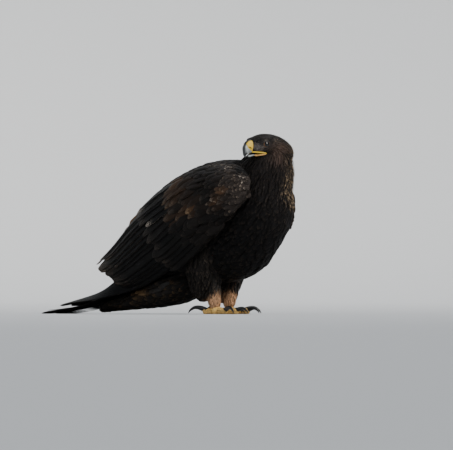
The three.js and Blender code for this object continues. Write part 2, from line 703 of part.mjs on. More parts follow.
const parts = buildHead();
const headRoom = parts.room.map(placeHead);
add("head", placeHead(parts.head), DARK_BROWN);
add("beak_upper", placeHead(parts.horn), HORN_GREY);
add("cere", placeHead(parts.cere), CERE_YELLOW);
add("beak_lower", placeHead(parts.mandible), HORN_GREY);
add("eye_left", placeHead(parts.eye), EYE_BROWN);
add("eye_right", placeHead(mirrored(parts.eye)), EYE_BROWN);
add("neck", buildNeck(headRoom), NAPE_GOLD);
add("torso", trunkWhole.trimByPlane(belowNeck, neckPlane + GAP / 2), DARK_BROWN);
const { mantle, mantleRoom } = buildMantle();
add("mantle", cut(mantle, trunkGrown, neckRoom), WING_BROWN);

const tailRoom = buildTail(GAP);
const thighRooms = [];
for (const [word, side, stations, step, knee] of [
  ["left", 1, LEFT_WING, LEFT_STEP, LEFT_KNEE],
  ["right", -1, RIGHT_WING, RIGHT_STEP, RIGHT_KNEE],
]) {
  const wing = buildWing(stations, side);
  const leg = buildLeg(step, knee);
  const own = side > 0 ? (made) => made : mirrored;
  thighRooms.push(own(leg.thighRoom));
  add(`wing_${word}_arm`, cut(wing.arm, trunkGrown, neckRoom, mantleRoom), WING_BROWN);
  add(`wing_${word}_hand`, cut(wing.hand, trunkGrown), FLIGHT_BLACK);
  add(`thigh_${word}`, cut(own(leg.thigh), trunkGrown, wing.room), DARK_BROWN);
  add(`tarsus_${word}`, own(leg.tarsus), LEG_TAN);
  add(`foot_${word}`, own(leg.foot), TOE_YELLOW);
  for (const [toe] of TOES) add(`claw_${word}_${toe}`, own(leg.claws[toe]), CLAW_BLACK);
}
add("tail", cut(buildTail(0), trunkGrown, floorBlock), FLIGHT_BLACK);
add("undertail", cut(buildVent(), trunkGrown, tailRoom, thighRooms, floorBlock), DARK_BROWN);

const eagle = new THREE.Group();
eagle.name = "golden_eagle";
const extent = new THREE.Box3();
for (const { name, made, material } of nodes) {
  const { vertProperties, triVerts } = made.getMesh();
  const geometry = new THREE.BufferGeometry();
  geometry.setAttribute("position", new THREE.BufferAttribute(vertProperties, 3));
  geometry.setIndex(new THREE.BufferAttribute(triVerts, 1));
  const mesh = new THREE.Mesh(geometry, material);
  mesh.name = name;
  eagle.add(mesh);
  extent.expandByObject(mesh);
}

// The origin is on the floor under the middle of the whole bird
const middle = extent.getCenter(new THREE.Vector3());
eagle.position.set(-middle.x, -middle.y, 0);

export default eagle;
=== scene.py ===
"""A golden eagle at life size: its plumage, bill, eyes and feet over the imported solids."""
import math

import bpy
import numpy as np
from mathutils import Matrix, Vector
from mathutils.bvhtree import BVHTree
from mathutils.kdtree import KDTree


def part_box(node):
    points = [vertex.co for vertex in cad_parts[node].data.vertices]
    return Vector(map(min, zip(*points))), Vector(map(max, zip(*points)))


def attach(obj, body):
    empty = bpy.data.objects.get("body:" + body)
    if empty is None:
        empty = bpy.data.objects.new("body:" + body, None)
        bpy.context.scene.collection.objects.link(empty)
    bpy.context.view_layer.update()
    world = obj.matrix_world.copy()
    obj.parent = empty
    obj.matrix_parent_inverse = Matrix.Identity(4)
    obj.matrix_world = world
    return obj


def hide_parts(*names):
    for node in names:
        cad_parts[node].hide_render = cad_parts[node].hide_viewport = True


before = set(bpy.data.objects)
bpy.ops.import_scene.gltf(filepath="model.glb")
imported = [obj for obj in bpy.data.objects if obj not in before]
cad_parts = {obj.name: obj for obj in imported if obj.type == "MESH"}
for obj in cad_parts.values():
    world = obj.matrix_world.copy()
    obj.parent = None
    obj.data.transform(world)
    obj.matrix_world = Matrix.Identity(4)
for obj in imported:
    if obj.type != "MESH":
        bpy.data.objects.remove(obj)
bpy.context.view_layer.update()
rng = np.random.default_rng(5)

# Driving measures of the bird, in millimetres. It faces -Y and its left side is +X.
MM = 0.001
BODY_ROLL = 7
ROLL_FADES = (60, 330)
HEAD_TURN = -112
HEAD_NOD = 5
HEAD_PLACE = (-4, -122, 416)
LEG_SPREAD = 39
FOOT_Y = -3
LEFT_STEP = (-7, 6)
RIGHT_STEP = (1, 0)
STEP_STARTS = 90
LEFT_KNEE = -10  # how far the left leg bends forward between its foot and the body
RIGHT_KNEE = 0
KNEE_HEIGHTS = (10, 75, 130, 200)
EYE_RADIUS = 12.5
EYE_PLACE = (21.5, -16, 6.5)
EYE_AXIS = (1, -0.3, 0.02)
NOSTRIL_PLACE = (11.5, -55.5, 0.6)
SKIN_VOXEL = 0.0024

# Stations along a tube: x, y, z, half width, radius above, radius below
TRUNK = [
    (13, -132, 414, 33, 32, 34),
    (12, -131, 391, 46, 55, 54),
    (8, -128, 370, 58, 76, 65),
    (0, -117, 335, 68, 88, 82),
    (0, -88, 292, 84, 92, 132),
    (0, -30, 255, 86, 98, 169),
    (0, 50, 212, 80, 118, 153),
    (0, 130, 167, 72, 118, 98),
    (0, 200, 130, 60, 86, 62),
    (0, 255, 100, 44, 50, 36),
    (0, 290, 84, 28, 26, 22),
]
FOLDED = [
    (0, 90, 190, 119, 154, 118),
    (0, 180, 140, 106, 134, 98),
    (0, 270, 95, 86, 96, 72),
    (0, 360, 56, 66, 64, 44),
    (0, 460, 24, 46, 22, 20),
]
RIGHT_WING = [(0, -150, 305, 104, 60, 78), (0, -80, 280, 120, 114, 110), (0, 0, 240, 125, 147, 125)] + FOLDED
LEFT_WING = [(0, -156, 298, 112, 68, 150), (0, -88, 274, 132, 118, 180), (0, 0, 240, 129, 147, 150)] + FOLDED
HAND_DEPTH = 25
LEAST_RADIUS = 9
# The line of the primaries on one side: x, y, z, and degrees that their outer face looks up
HAND_LINE = [
    (81, 61, 151, -31),
    (72, 140, 115, -22),
    (65, 215, 85.5, 0),
    (59, 290, 63, 35),
    (47, 350, 44, 58),
    (39, 410, 31, 70),
    (31, 466, 22, 76),
]
THIGH = [
    (52, 10, 200, 26, 40, 32),
    (55, 10, 165, 29, 54, 36),
    (54, 15, 125, 31, 62, 31),
    (47, 20, 94, 29, 62, 40),
    (42, 30, 64, 27, 50, 38),
    (41, 43, 36, 18, 30, 24),
]
TARSUS = [
    (41, 12, 84, 15, 18, 18),
    (40.5, 9, 62, 18, 21, 21),
    (40, 4, 38, 17, 19, 19),
    (39.5, -1, 13, 14.5, 15.5, 16),
]
VENT = [
    (0, 50, 104, 38, 30, 44),
    (0, 110, 78, 54, 42, 48),
    (0, 190, 55, 54, 34, 40),
    (0, 270, 35, 48, 20, 25),
    (0, 350, 16, 34, 8, 11),
]
SKULL = [
    (0, -50, 3.4, 14.6, 16.6, 15.6),
    (0, -36, 2, 25, 28, 24),
    (0, -18, 0, 34, 33, 32),
    (0, 2, 0, 39, 33, 36),
    (0, 25, -4, 41, 29.5, 38),
    (0, 46, -16, 36, 25.5, 37),
    (0, 62, -40, 30, 23, 32),
]
BEAK = [
    (0, -66, -22.5, 0.9, 0.9, 0.9),
    (0, -66.6, -16.6, 3.2, 4, 5),
    (0, -65.1, -9.7, 6, 6.4, 10.3),
    (0, -60.6, -1.6, 9, 11.4, 14),
    (0, -51.7, 2.7, 11.6, 15.8, 15.6),
    (0, -43.2, 3.7, 12.8, 15.1, 15.1),
    (0, -34, 3.6, 13.2, 13.6, 13.6),
]
MANDIBLE = [
    (0, -60, -19.5, 2.4, 2.2, 2.2),
    (0, -53, -19.3, 6, 5, 3.2),
    (0, -43, -17.2, 9.2, 5.6, 3.6),
    (0, -31, -15.5, 11, 5, 6),
]
UPPER_LIP = [
    (7.8, -50, -10, 1.7, 1.6, 1.8),
    (14.8, -42.1, -11.2, 2, 1.8, 2),
    (21.4, -33.5, -12.8, 2, 1.8, 2),
    (26.3, -23.7, -14.8, 1.8, 1.6, 1.8),
    (26.9, -18.9, -17.0, 1.5, 1.4, 1.5),
]
LOWER_LIP = [
    (8.5, -42.5, -19, 2, 2, 2.2),
    (12.9, -37.3, -19.3, 2.2, 2, 2.3),
    (17.6, -32.2, -18.9, 2.2, 2, 2.3),
    (22.8, -26.5, -18.2, 2, 1.8, 2.1),
    (26.8, -19.6, -17.6, 1.5, 1.4, 1.6),
]
BROW = [
    (19, -42, 15, 3, 3, 3),
    (25, -31, 20, 4.6, 4.6, 5),
    (30.5, -15, 21.6, 4.6, 4.4, 5),
    (33, 3, 21, 3, 3, 4),
]
MIDDLE_TOE = [
    (0, -62, 6.6, 5, 5.4, 6.8),
    (0, -52, 7.6, 6.3, 6.8, 7.8),
    (0, -41, 7.4, 5.4, 5.8, 7.6),
    (0, -29, 8.2, 6.7, 7.2, 8.4),
    (0, -17, 8.6, 6, 7, 8.8),
    (0, 0, 11, 8.4, 9, 11.2),
]
TOE_SLIT = 4
# name, degrees from straight ahead towards the bird's left, toe share, claw share
TOES = [
    ("inner", 28, 0.76, 1.15),
    ("middle", -2, 1, 0.95),
    ("outer", -32, 0.78, 0.8),
    ("hind", 172, 0.6, 1.3),
]
CLAW = [
    (0, -33, 1.6, 0.5, 0.5, 0.5),
    (0, -28, 9, 2.2, 2.4, 2.2),
    (0, -18, 14.5, 3.7, 4, 3.8),
    (0, -6, 13, 4.8, 5.2, 5.4),
    (0, 6, 8, 5, 5.4, 6),
]
# The tail's middle line: y and z
TAIL_LINE = [(205, 104), (262, 66), (330, 33), (400, 13), (460, 4.5), (512, 0.6)]

# Colours of the plumage, as linear red, green and blue
BREAST = (0.0018, 0.0017, 0.0019)
# Painted shade: the dark that the head casts on the chin and throat, also laid under the head and on the
# wing's top under the neck
THROAT_SHADE = (0.003, 0.0027, 0.0027)
NECK_BROWN = (0.0132, 0.0115, 0.0115)
CROWN = (0.024, 0.023, 0.024)
CHEEK = (0.12, 0.08, 0.064)
LORES = (0.14, 0.132, 0.138)
WING = (0.0055, 0.0045, 0.004)
WRIST_BROWN = (0.036, 0.0285, 0.025)
RUST = (0.12, 0.06, 0.028)
QUILL = (0.0019, 0.0018, 0.0019)
THIGH_BROWN = (0.01, 0.0085, 0.0076)
LEG_TAN = (0.74, 0.43, 0.245)
VENT_BROWN = (0.0067, 0.0056, 0.005)
GOLD = (0.36, 0.22, 0.1)
PALE = (0.24, 0.185, 0.14)
BLEACHED = (0.7, 0.6, 0.5)
HACKLE_TIP = (0.6, 0.42, 0.25)
SOFT_GREY = (0.035, 0.033, 0.032)
PALE_GREY = (0.62, 0.64, 0.66)


# Small helpers on arrays
def lerp(a, b, f):
    return a + (b - a) * f


def smoothstep(x, low, high):
    f = np.clip((np.asarray(x, float) - low) / (high - low), 0, 1)
    return f * f * (3 - 2 * f)


def unit(v):
    return v / np.maximum(np.linalg.norm(v, axis=-1, keepdims=True), 1e-9)


def blend(a, b, f):
    f = np.asarray(f, float)[..., None]
    return np.asarray(a, float) * (1 - f) + np.asarray(b, float) * f


def with_alpha(rows):
    rows = np.asarray(rows, float)
    return np.concatenate([rows, np.ones((*rows.shape[:-1], 1))], -1)


def through(rows):
    """Rows of numbers as one smooth function of 0 to 1."""
    rows = np.array(rows, float)
    last = len(rows) - 1

    def at(t):
        spot = np.clip(np.asarray(t, float), 0, 1) * last
        i = np.minimum(spot.astype(int), last - 1)
        f = (spot - i)[..., None]
        a, b, d, e = (rows[np.clip(i + k, 0, last)] for k in (-1, 0, 1, 2))
        return b + 0.5 * f * (d - a + f * (2 * a - 5 * b + 4 * d - e + f * (3 * (b - d) + e - a)))

    return at


def from_top(degrees):
    """Degrees away from the top of a tube, on either side."""
    return np.abs((degrees + 90) % 360 - 180)


def marked(marks, s, degrees):
    """How strongly soft round marks show: their places, their spreads and their strength."""
    total = 0
    for s0, degrees0, spread, wide, strength in marks:
        away = (degrees - degrees0 + 180) % 360 - 180
        total = total + strength * np.exp(-(((s - s0) / spread) ** 2) - (away / wide) ** 2)
    return np.minimum(1.0, total)


def body_lean(y):
    return BODY_ROLL * (1 - smoothstep(y, *ROLL_FADES))


def rolled(x, z, degrees):
    """A place across the body after a roll to its right."""
    spin = np.radians(-degrees)
    return x * np.cos(spin) - z * np.sin(spin), x * np.sin(spin) + z * np.cos(spin)


STEP_AHEAD = 0.01  # how far along two points lie that give a tube's direction
STEP_DOWN = 0.02  # and the lie of the coat


def sleeve(stations, roll=None, place=None):
    """The surface of a tube through stations: at t along, at degrees round, lifted off."""
    row = through(stations)

    def at(t, degrees, lift=0.0, shrink=1.0):
        t, turn, lift, shrink = np.broadcast_arrays(t, np.radians(degrees), lift, shrink)
        here = row(t)
        before, after = row(np.maximum(t - STEP_AHEAD, 0)), row(np.minimum(t + STEP_AHEAD, 1))
        ahead = unit(after[..., :3] - before[..., :3])
        side = unit(np.array([1.0, 0, 0]) - ahead * ahead[..., :1])
        over = np.cross(side, ahead)
        high = np.where(np.sin(turn) > 0, here[..., 4], here[..., 5])
        across = (here[..., 3] + lift) * shrink * np.cos(turn)
        above = (high + lift) * shrink * np.sin(turn)
        if roll:
            across, above = rolled(across, above, roll(here[..., 1]))
        out = here[..., :3] + side * across[..., None] + over * above[..., None]
        return place(out) if place else out

    return at


def dome_ends(t, ends):
    near = np.minimum(1, np.minimum(t / ends[0], (1 - t) / ends[1]))
    return np.sqrt(np.maximum(0, 1 - (1 - near) ** 2))


def turns(around, along):
    """A net of t and degrees that is closer at both ends."""
    t = (1 - np.cos(np.linspace(0, math.pi, along + 1))) / 2
    return np.meshgrid(t, np.arange(around) * 360 / around, indexing="ij")


# The head's place, and the frame's shift from the bird's own measures
head_matrix = (
    Matrix.Translation(HEAD_PLACE)
    @ Matrix.Rotation(math.radians(HEAD_TURN), 4, "Z")
    @ Matrix.Rotation(math.radians(HEAD_NOD), 4, "X")
)


def moved(points, matrix):
    m = np.array(matrix)
    return points @ m[:3, :3].T + m[:3, 3]


def on_head(points):
    return moved(points, head_matrix)


eye_low, eye_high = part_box("eye_left")
SHIFT = np.array((eye_low + eye_high) / 2) - on_head(np.array(EYE_PLACE, float)) * MM
SHIFT[2] = 0.0


def to_frame(points):
    return points * MM + SHIFT


def from_frame(points):
    return (points - SHIFT) / MM


# Meshes
FLOOR_GAP = 0.0001  # metres that the lowest points keep above the floor
ATTRIBUTES = {4: ("FLOAT_COLOR", "color"), 3: ("FLOAT_VECTOR", "vector")}


def put_in_scene(name, data):
    made = bpy.data.objects.new(name, data)
    bpy.context.scene.collection.objects.link(made)
    return made


def keep_values(mesh, name, rows):
    kind, field = ATTRIBUTES[rows.shape[1]]
    mesh.attributes.new(name, kind, "POINT").data.foreach_set(field, rows.astype(np.float32).ravel())


def ring_quads(rows, ring, joined=False):
    """Quads between rows of points in rings, and from the last row to the first where joined."""
    r, c = np.meshgrid(np.arange(rows - (not joined)) * ring, np.arange(ring), indexing="ij")
    below, beside = (r + ring) % (rows * ring), (c + 1) % ring
    return np.stack([r + c, r + beside, below + beside, below + c], -1).reshape(-1, 4)


def closed_faces(rows, around):
    """Faces of a net whose first and last rows are single points."""
    last = 1 + (rows - 2) * around
    c = np.arange(around)
    n = (c + 1) % around
    start = np.stack([0 * c, 1 + n, 1 + c], 1)
    end = last + np.stack([0 * c, c - around, n - around], 1)
    return 1 + ring_quads(rows - 2, around), np.concatenate([start, end])


def vane_faces(rows, ring):
    """Faces of rings of points that are closed flat at both ends."""
    k = np.arange(1, ring - 1)
    start = np.stack([0 * k, k + 1, k], 1)
    end = (rows - 1) * ring + np.stack([0 * k, k, k + 1], 1)
    return ring_quads(rows, ring), np.concatenate([start, end])


def net_spots(net):
    return np.concatenate([net[:1, 0], net[1:-1].reshape(-1, 3), net[-1:, 0]])


def turned_out(spots, quads, tris):
    """The faces, reversed where the closed surface faces inwards."""
    fans = np.concatenate([quads[:, [0, 1, 2]], quads[:, [0, 2, 3]], tris])
    a, b, c = spots[fans[:, 0]], spots[fans[:, 1]], spots[fans[:, 2]]
    if np.einsum("ij,ij->", a, np.cross(b, c)) < 0:
        return quads[:, ::-1], tris[:, ::-1]
    return quads, tris


class Pile:
    """Surfaces gathered into one mesh, with values on their points."""

    def __init__(self):
        self.spots, self.quads, self.tris, self.values, self.count = [], [], [], {}, 0

    def add(self, spots, quads, tris, **values):
        self.spots.append(spots)
        self.quads.append(quads + self.count)
        self.tris.append(tris + self.count)
        for name, value in values.items():
            value = np.broadcast_to(np.asarray(value, float), (len(spots), np.shape(value)[-1]))
            self.values.setdefault(name, []).append(value)
        self.count += len(spots)

    def add_net(self, net, **values):
        quads, tris = closed_faces(*net.shape[:2])
        spots = net_spots(net)
        quads, tris = turned_out(spots, quads, tris)
        self.add(spots, quads, tris, **values)

    def build(self, name, material, nodes=()):
        spots = to_frame(np.concatenate(self.spots))
        spots[:, 2] = np.maximum(spots[:, 2], FLOOR_GAP)
        quads, tris = np.concatenate(self.quads), np.concatenate(self.tris)
        mesh = bpy.data.meshes.new(name)
        corners = np.concatenate([quads.ravel(), tris.ravel()]).astype(np.int32)
        starts = np.concatenate([np.arange(len(quads)) * 4, 4 * len(quads) + np.arange(len(tris)) * 3])
        mesh.vertices.add(len(spots))
        mesh.vertices.foreach_set("co", spots.astype(np.float32).ravel())
        mesh.loops.add(len(corners))
        mesh.loops.foreach_set("vertex_index", corners)
        mesh.polygons.add(len(starts))
        mesh.polygons.foreach_set("loop_start", starts.astype(np.int32))
        mesh.polygons.foreach_set("use_smooth", np.ones(len(starts), bool))
        mesh.update(calc_edges=True)
        for key, parts in self.values.items():
            rows = np.concatenate(parts)
            if key == "bake":
                layer = mesh.uv_layers.new(name="OFBake")
                layer.data.foreach_set("uv", rows[corners].astype(np.float32).ravel())
            else:
                keep_values(mesh, key, rows)
        mesh.materials.append(material)
        made = put_in_scene(name, mesh)
        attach(made, "root")
        if nodes:
            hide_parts(*nodes)
        return made


# Materials
class Nodes:
    """Shader nodes of one material, made and linked in a line each."""

    def __init__(self, name, **sockets):
        self.material = bpy.data.materials.new(name)
        self.material.use_nodes = True
        self.tree = self.material.node_tree
        self.shader = self.tree.nodes["Principled BSDF"]
        for socket, value in sockets.items():
            self.put(self.shader, socket.replace("_", " "), value)

    def put(self, node, socket, value):
        if isinstance(value, (int, float)):
            node.inputs[socket].default_value = value
        elif isinstance(value, tuple):
            node.inputs[socket].default_value = (*value, 1)
        else:
            self.tree.links.new(value, node.inputs[socket])

    def node(self, kind, sockets, output=0, **settings):
        made = self.tree.nodes.new(f"ShaderNode{kind}")
        for name, value in settings.items():
            setattr(made, name, value)
        for socket, value in sockets.items():
            self.put(made, socket, value)
        return made.outputs[output]

    def attribute(self, name, output="Color"):
        return self.node("Attribute", {}, output, attribute_name=name)

    def math(self, operation, *values):
        return self.node("Math", dict(enumerate(values)), operation=operation)

    def ramp(self, value, low, high, start=0.0, end=1.0):
        numbers = {"Value": value, "From Min": low, "From Max": high, "To Min": start, "To Max": end}
        return self.node("MapRange", numbers, interpolation_type="SMOOTHSTEP")

    def noise(self, scale, detail=3.0):
        place = self.node("TexCoord", {}, "Object")
        return self.node("TexNoise", {"Vector": place, "Scale": scale, "Detail": detail})

    def mix(self, factor, a, b):
        # A colour mix has its colours and its result after the sockets for other kinds
        return self.node("Mix", {"Factor": factor, 6: a, 7: b}, 2, data_type="RGBA")

    def scaled(self, colour, factor):
        return self.node("VectorMath", {0: colour, "Scale": factor}, operation="SCALE")

    def bump(self, height, distance, strength=1.0):
        sockets = {"Height": height, "Distance": distance, "Strength": strength}
        self.put(self.shader, "Normal", self.node("Bump", sockets))

    def colour(self, value):
        self.put(self.shader, "Base Color", value)


BARB_SLANT = 0.3  # how far a barb runs down the vane on its way out
SHAFT = 0.09  # half width of a vane's shaft as a share of the vane's
RIM_FULL = 0.99  # where a vane's edge has its own colour fully
PATCHES = 420  # patches of wear per metre
BARB_DEPTH = 0.0003


def plumage(name, barbs, roughness, rim_start):
    """Feather vanes: a tint of their own, a paler edge, a shaft and slanting barbs."""
    m = Nodes(name, Roughness=roughness, Specular_IOR_Level=0.09)
    vane = {0: m.attribute("vane", "Vector")}
    across = m.math("ABSOLUTE", m.node("SeparateXYZ", vane, 0))
    along = m.node("SeparateXYZ", vane, 1)
    slant = m.math("SUBTRACT", along, m.math("MULTIPLY", across, BARB_SLANT))
    barb = m.math("SINE", m.math("MULTIPLY", slant, barbs))
    patchy = m.noise(PATCHES)
    outward = m.math("MAXIMUM", m.math("MULTIPLY", across, 0.92), along)
    worn = m.math("ADD", m.ramp(patchy, 0.3, 0.7, -0.12, 0.12), outward)
    rim = m.math("MULTIPLY", m.ramp(worn, rim_start, RIM_FULL), m.attribute("edge", "Alpha"))
    body = m.mix(rim, m.attribute("tint"), m.attribute("edge"))
    shade = m.math("MULTIPLY", m.ramp(patchy, 0.25, 0.75, 0.8, 1.2), m.ramp(barb, -1, 1, 0.86, 1.1))
    m.colour(m.scaled(body, shade))
    shaft = m.ramp(across, 0.0, SHAFT, 1.0, 0.0)
    relief = m.math("ADD", m.math("MULTIPLY", barb, 0.35), m.math("MULTIPLY", shaft, 1.5))
    m.bump(relief, BARB_DEPTH, 0.8)
    return m.material


def tinted(name, roughness, grain, depth, specular=0.5, coat=0.0):
    """A finish whose colour lies on the mesh, with fine uneven grain."""
    m = Nodes(name, Roughness=roughness, Specular_IOR_Level=specular, Coat_Weight=coat)
    flecks = m.noise(grain, 5.0)
    m.colour(m.scaled(m.attribute("tint"), m.ramp(flecks, 0.25, 0.75, 0.75, 1.2)))
    m.bump(flecks, depth)
    return m.material


def backdrop_finish():
    m = Nodes("pale_backdrop", Roughness=0.9, Specular_IOR_Level=0.1)
    m.colour(PALE_GREY)
    return m.material


PLUME = plumage("plume", 150, 0.55, 0.7)
FLIGHT = plumage("flight", 420, 0.45, 0.88)
SKIN = tinted("down", 0.9, 500, 0.0004, 0.2)
HORN = tinted("horn", 0.3, 260, 0.00008, 0.5, 0.2)
CERE = tinted("cere", 0.45, 700, 0.00015, 0.25)
TOE = tinted("toe", 0.5, 600, 0.0003)
TALON = tinted("talon", 0.28, 300, 0.00005, 0.4, 0.1)
LID = tinted("lid", 0.6, 900, 0.0002)
EYE = tinted("eye", 0.06, 40, 0.0)


# Forms of the body under the feathers. Each gives points, the lie of the coat, and a row of
# values there: the five sizes of a feather, its tint, its edge's colour and strength, and
# whether it is hidden.
SPACING, LENGTH, HALF, POINT, LIFT = range(5)
TINT = slice(5, 8)
EDGE = slice(8, 12)
HIDDEN = 12
COAT_DEPTH = 5.0  # how far the skin lies under the surface of the trunk, and then of the other forms
SKULL_DEPTH = 2.0
BROW_DEPTH = 0.6
THIGH_DEPTH = 4.5
TARSUS_DEPTH = 2.2

# Feathers: spacing, length, half width, pointedness from round to a lance, and lift at the tip
NECK_PLUME = (4.3, 20, 3.3, 0.85, 3.2)
HACKLE = (4.3, 20, 3.0, 1.0, 6.5)
BREAST_PLUME = (7.6, 38, 9, 0.15, 4.2)
CROWN_PLUME = (2.7, 10, 2.1, 0.8, 1.4)
NAPE_PLUME = (4.2, 25, 3.3, 1.0, 5.5)
FACE_PLUME = (2.0, 5.5, 1.2, 0.9, 0.8)
BROW_PLUME = (2.1, 6.5, 1.4, 0.8, 0.9)
WRIST_PLUME = (5.6, 17, 5.6, 0.12, 2.6)
COVERT = (12.5, 66, 15.5, 0.12, 4.2)
BACK_PLUME = (8.5, 32, 9.5, 0.12, 3.8)
SCAPULAR = (11.5, 62, 14.5, 0.12, 4.6)
HIP_PLUME = (6.4, 34, 6.5, 0.4, 3.6)
SHIN_PLUME = (6.4, 26, 4.6, 0.75, 3.6)
TARSUS_PLUME = (3.6, 12, 2.8, 0.55, 1.7)
VENT_PLUME = (9, 38, 9, 0.2, 4.0)
VENT_END_PLUME = (9, 56, 11.5, 0.2, 4.0)
NECK_GROWTH = 10  # how much longer the neck's feathers get towards the body
LORES_LIFT = 1.0
POD_ENDS = (0.16, 0.2)

# Soft marks: along, degrees round, the spread of both, and strength
NECK_CHEEK = [(0.08, -128, 0.07, 24, 0.7)]
LORES_MARK = [(0.1, 100, 0.11, 22, 1)]
CHEEK_MARK = [(0.6, 102, 0.18, 28, 0.9)]
BRISTLES = [(0.07, 92, 0.03, 12, 0.5)]
BEHIND_EYE = [(0.5, 62, 0.04, 10, 0.8)]
BROW_FLECK = [(0.47, -80, 0.1, 50, 1)]
MANTLE_TUFT = [(0.1, 103, 0.02, 8, 1)]
VENT_GOLD = [(0.47, 84, 0.035, 12, 1)]
VENT_GREY = [(0.3, 78, 0.07, 20, 1)]
MOUTH_LINE = (122, 9)  # degrees from the crown to the dark line under the lips, and its spread


def coat(shape, sizes, tint, edge, strength, hidden=0.0):
    """A row of values for each point of a form."""
    rows = [np.broadcast_to(value, (*shape, np.shape(value)[-1])) for value in (sizes, tint, edge)]
    last = [np.broadcast_to(np.asarray(value, float), shape) for value in (strength, hidden)]
    return np.concatenate([*rows, np.stack(last, -1)], -1)


forms = []


def add_form(net, flow, sizes):
    forms.append((net, unit(flow), sizes))


def tube_form(at, around, along, depth, ends, sizes):
    t, degrees = turns(around, along)
    below, above = np.minimum(t + STEP_DOWN, 1.0), np.maximum(t - STEP_DOWN, 0.0)
    flow = at(below, degrees, -depth) - at(above, degrees, -depth)
    add_form(at(t, degrees, -depth, dome_ends(t, ends)), flow, sizes(t, degrees))


def pod_form(field, span, low, high, lift, half, around, along, sizes):
    """A flat pod in a field, between two edges and with round ends."""
    t, degrees = turns(around, along)
    dome = dome_ends(t, POD_ENDS)
    s = lerp(*span, t)
    middle = (low(s) + high(s)) / 2
    b = middle + (high(s) - low(s)) / 2 * dome * np.cos(np.radians(degrees))
    net = field(s, b, lift + half * dome * np.sin(np.radians(degrees)))
    add_form(net, field(s + STEP_DOWN, b, 0.0) - field(s - STEP_DOWN, b, 0.0), sizes(s, b))


trunk_skin = sleeve(TRUNK, body_lean)
skull_skin = sleeve(SKULL, place=on_head)


def trunk_coat(s, degrees):
    body = smoothstep(s, 0.22, 0.45)
    hackled = lerp(-60, 60, smoothstep(s, 0.28, 0.42))  # the nape follows the turned head
    behind = np.cos(np.radians(degrees - hackled))
    nape = smoothstep(behind, 0.5, 0.9) * (1 - smoothstep(s, 0.3, 0.42))
    # Painted shade on the front of the neck under the head
    throat_shade = smoothstep(behind, -0.2, -0.7) * (1 - body)
    sizes = blend(blend(NECK_PLUME, HACKLE, nape), BREAST_PLUME, body)
    sizes[..., LENGTH] += NECK_GROWTH * smoothstep(s, 0, 0.3) * (1 - body)
    tint = blend(blend(blend(NECK_BROWN, THROAT_SHADE, throat_shade), BREAST, body), CROWN, 0.5 * nape)
    tint = blend(tint, CHEEK, marked(NECK_CHEEK, s, degrees))
    return coat(s.shape, sizes, tint, blend(PALE, HACKLE_TIP, nape), lerp(0.1, 0.9, nape) * (1 - 0.6 * body))


def skull_coat(s, degrees):
    top = np.sin(np.radians(degrees))
    sides = from_top(degrees)
    back = smoothstep(s, 0.4, 0.85)
    face = 1 - smoothstep(s, 0.0, 0.35)
    lores = marked(LORES_MARK, s, sides)
    mouth = (1 - smoothstep(s, 0.3, 0.4)) * np.exp(-(((sides - MOUTH_LINE[0]) / MOUTH_LINE[1]) ** 2))
    golden = smoothstep(s, 0.62, 0.85) * smoothstep(top, -0.5, 0.4) + marked(BEHIND_EYE, s, sides)
    sizes = blend(blend(CROWN_PLUME, NAPE_PLUME, back), FACE_PLUME, face)
    sizes[..., LIFT] += LORES_LIFT * lores
    tint = blend(NECK_BROWN, CROWN, smoothstep(top, -0.2, 0.4))
    # Painted shade: the underside of the head darkens to the throat's shade colour
    tint = blend(tint, THROAT_SHADE, smoothstep(top, -0.55, -0.95))
    tint = blend(tint, CHEEK, marked(CHEEK_MARK, s, sides))
    tint = blend(blend(tint, LORES, lores), BLEACHED, marked(BRISTLES, s, sides))
    strength = lerp(0.08, 0.9, np.maximum(np.clip(golden, 0, 1), 0.85 * lores))
    return coat(s.shape, sizes, blend(tint, QUILL, mouth), blend(HACKLE_TIP, BLEACHED, lores), strength)


def brow_coat(s, degrees):
    pale = marked(BROW_FLECK, s, degrees)
    return coat(s.shape, BROW_PLUME, blend(CROWN, BLEACHED, 0.3 * pale), BLEACHED, 0.1 + 0.8 * pale)


# The wing's pale front rim: how far along it is foremost and at what degrees, its bend below
# and above them, and its width
RIM_START = 0.03
RIM_MIDDLE = 3
RIM_BENDS = (1e-4, 4e-5)
RIM_WIDTH = 0.012
# Marks by where their feathers root: rusty coverts, and worn ones with bleached tips
RUSTY_MARKS = [
    (0.315, 7, 0.016, 3.2, 0.85),
    (0.25, 5, 0.018, 5.5, 0.85),
    (0.13, 8, 0.014, 3.5, 0.9),
    (0.16, -2, 0.016, 4, 0.6),
    (0.3, 30, 0.05, 10, 0.3),
    (0.31, 55, 0.04, 12, 0.5),
]
WORN_MARKS = [
    (0.14, -8, 0.01, 3, 1.0),
    (0.165, 2, 0.009, 2.4, 0.9),
    (0.2, 10, 0.01, 2, 0.8),
    (0.185, -6, 0.008, 2, 0.7),
    (0.11, 45, 0.01, 4, 0.7),
    (0.3, 18, 0.012, 2, 0.6),
]


def wing_coat(s, b):
    grown = smoothstep(s, 0.04, 0.3)
    wrist = 1 - smoothstep(s, 0.06, 0.17)
    rim = RIM_START + np.where(b < RIM_MIDDLE, *RIM_BENDS) * (b - RIM_MIDDLE) ** 2
    # Painted shade on the wing's top where the neck's feathers lap over it: the throat's shade colour and no
    # pale edges
    collar_shade = smoothstep(b, 26, 33) * (1 - smoothstep(s, 0.075, 0.105))  # the neck's feathers lap over it
    leading = np.exp(-(((s - rim) / RIM_WIDTH) ** 2)) * (1 - collar_shade)
    rust = marked(RUSTY_MARKS, s, b)
    worn = np.maximum(marked(WORN_MARKS, s, b), leading)
    under_quills = smoothstep(s, 0.33, 0.35)
    tint = blend(blend(blend(WING, WRIST_BROWN, wrist), RUST, 0.8 * rust), THROAT_SHADE, collar_shade)
    strength = np.clip(0.06 + 0.36 * wrist + 0.7 * worn + 0.5 * rust, 0, 1) * (1 - collar_shade)
    edge = blend(blend(PALE, GOLD, rust), BLEACHED, worn)
    return coat(s.shape, blend(WRIST_PLUME, COVERT, grown), tint, edge, strength, under_quills)


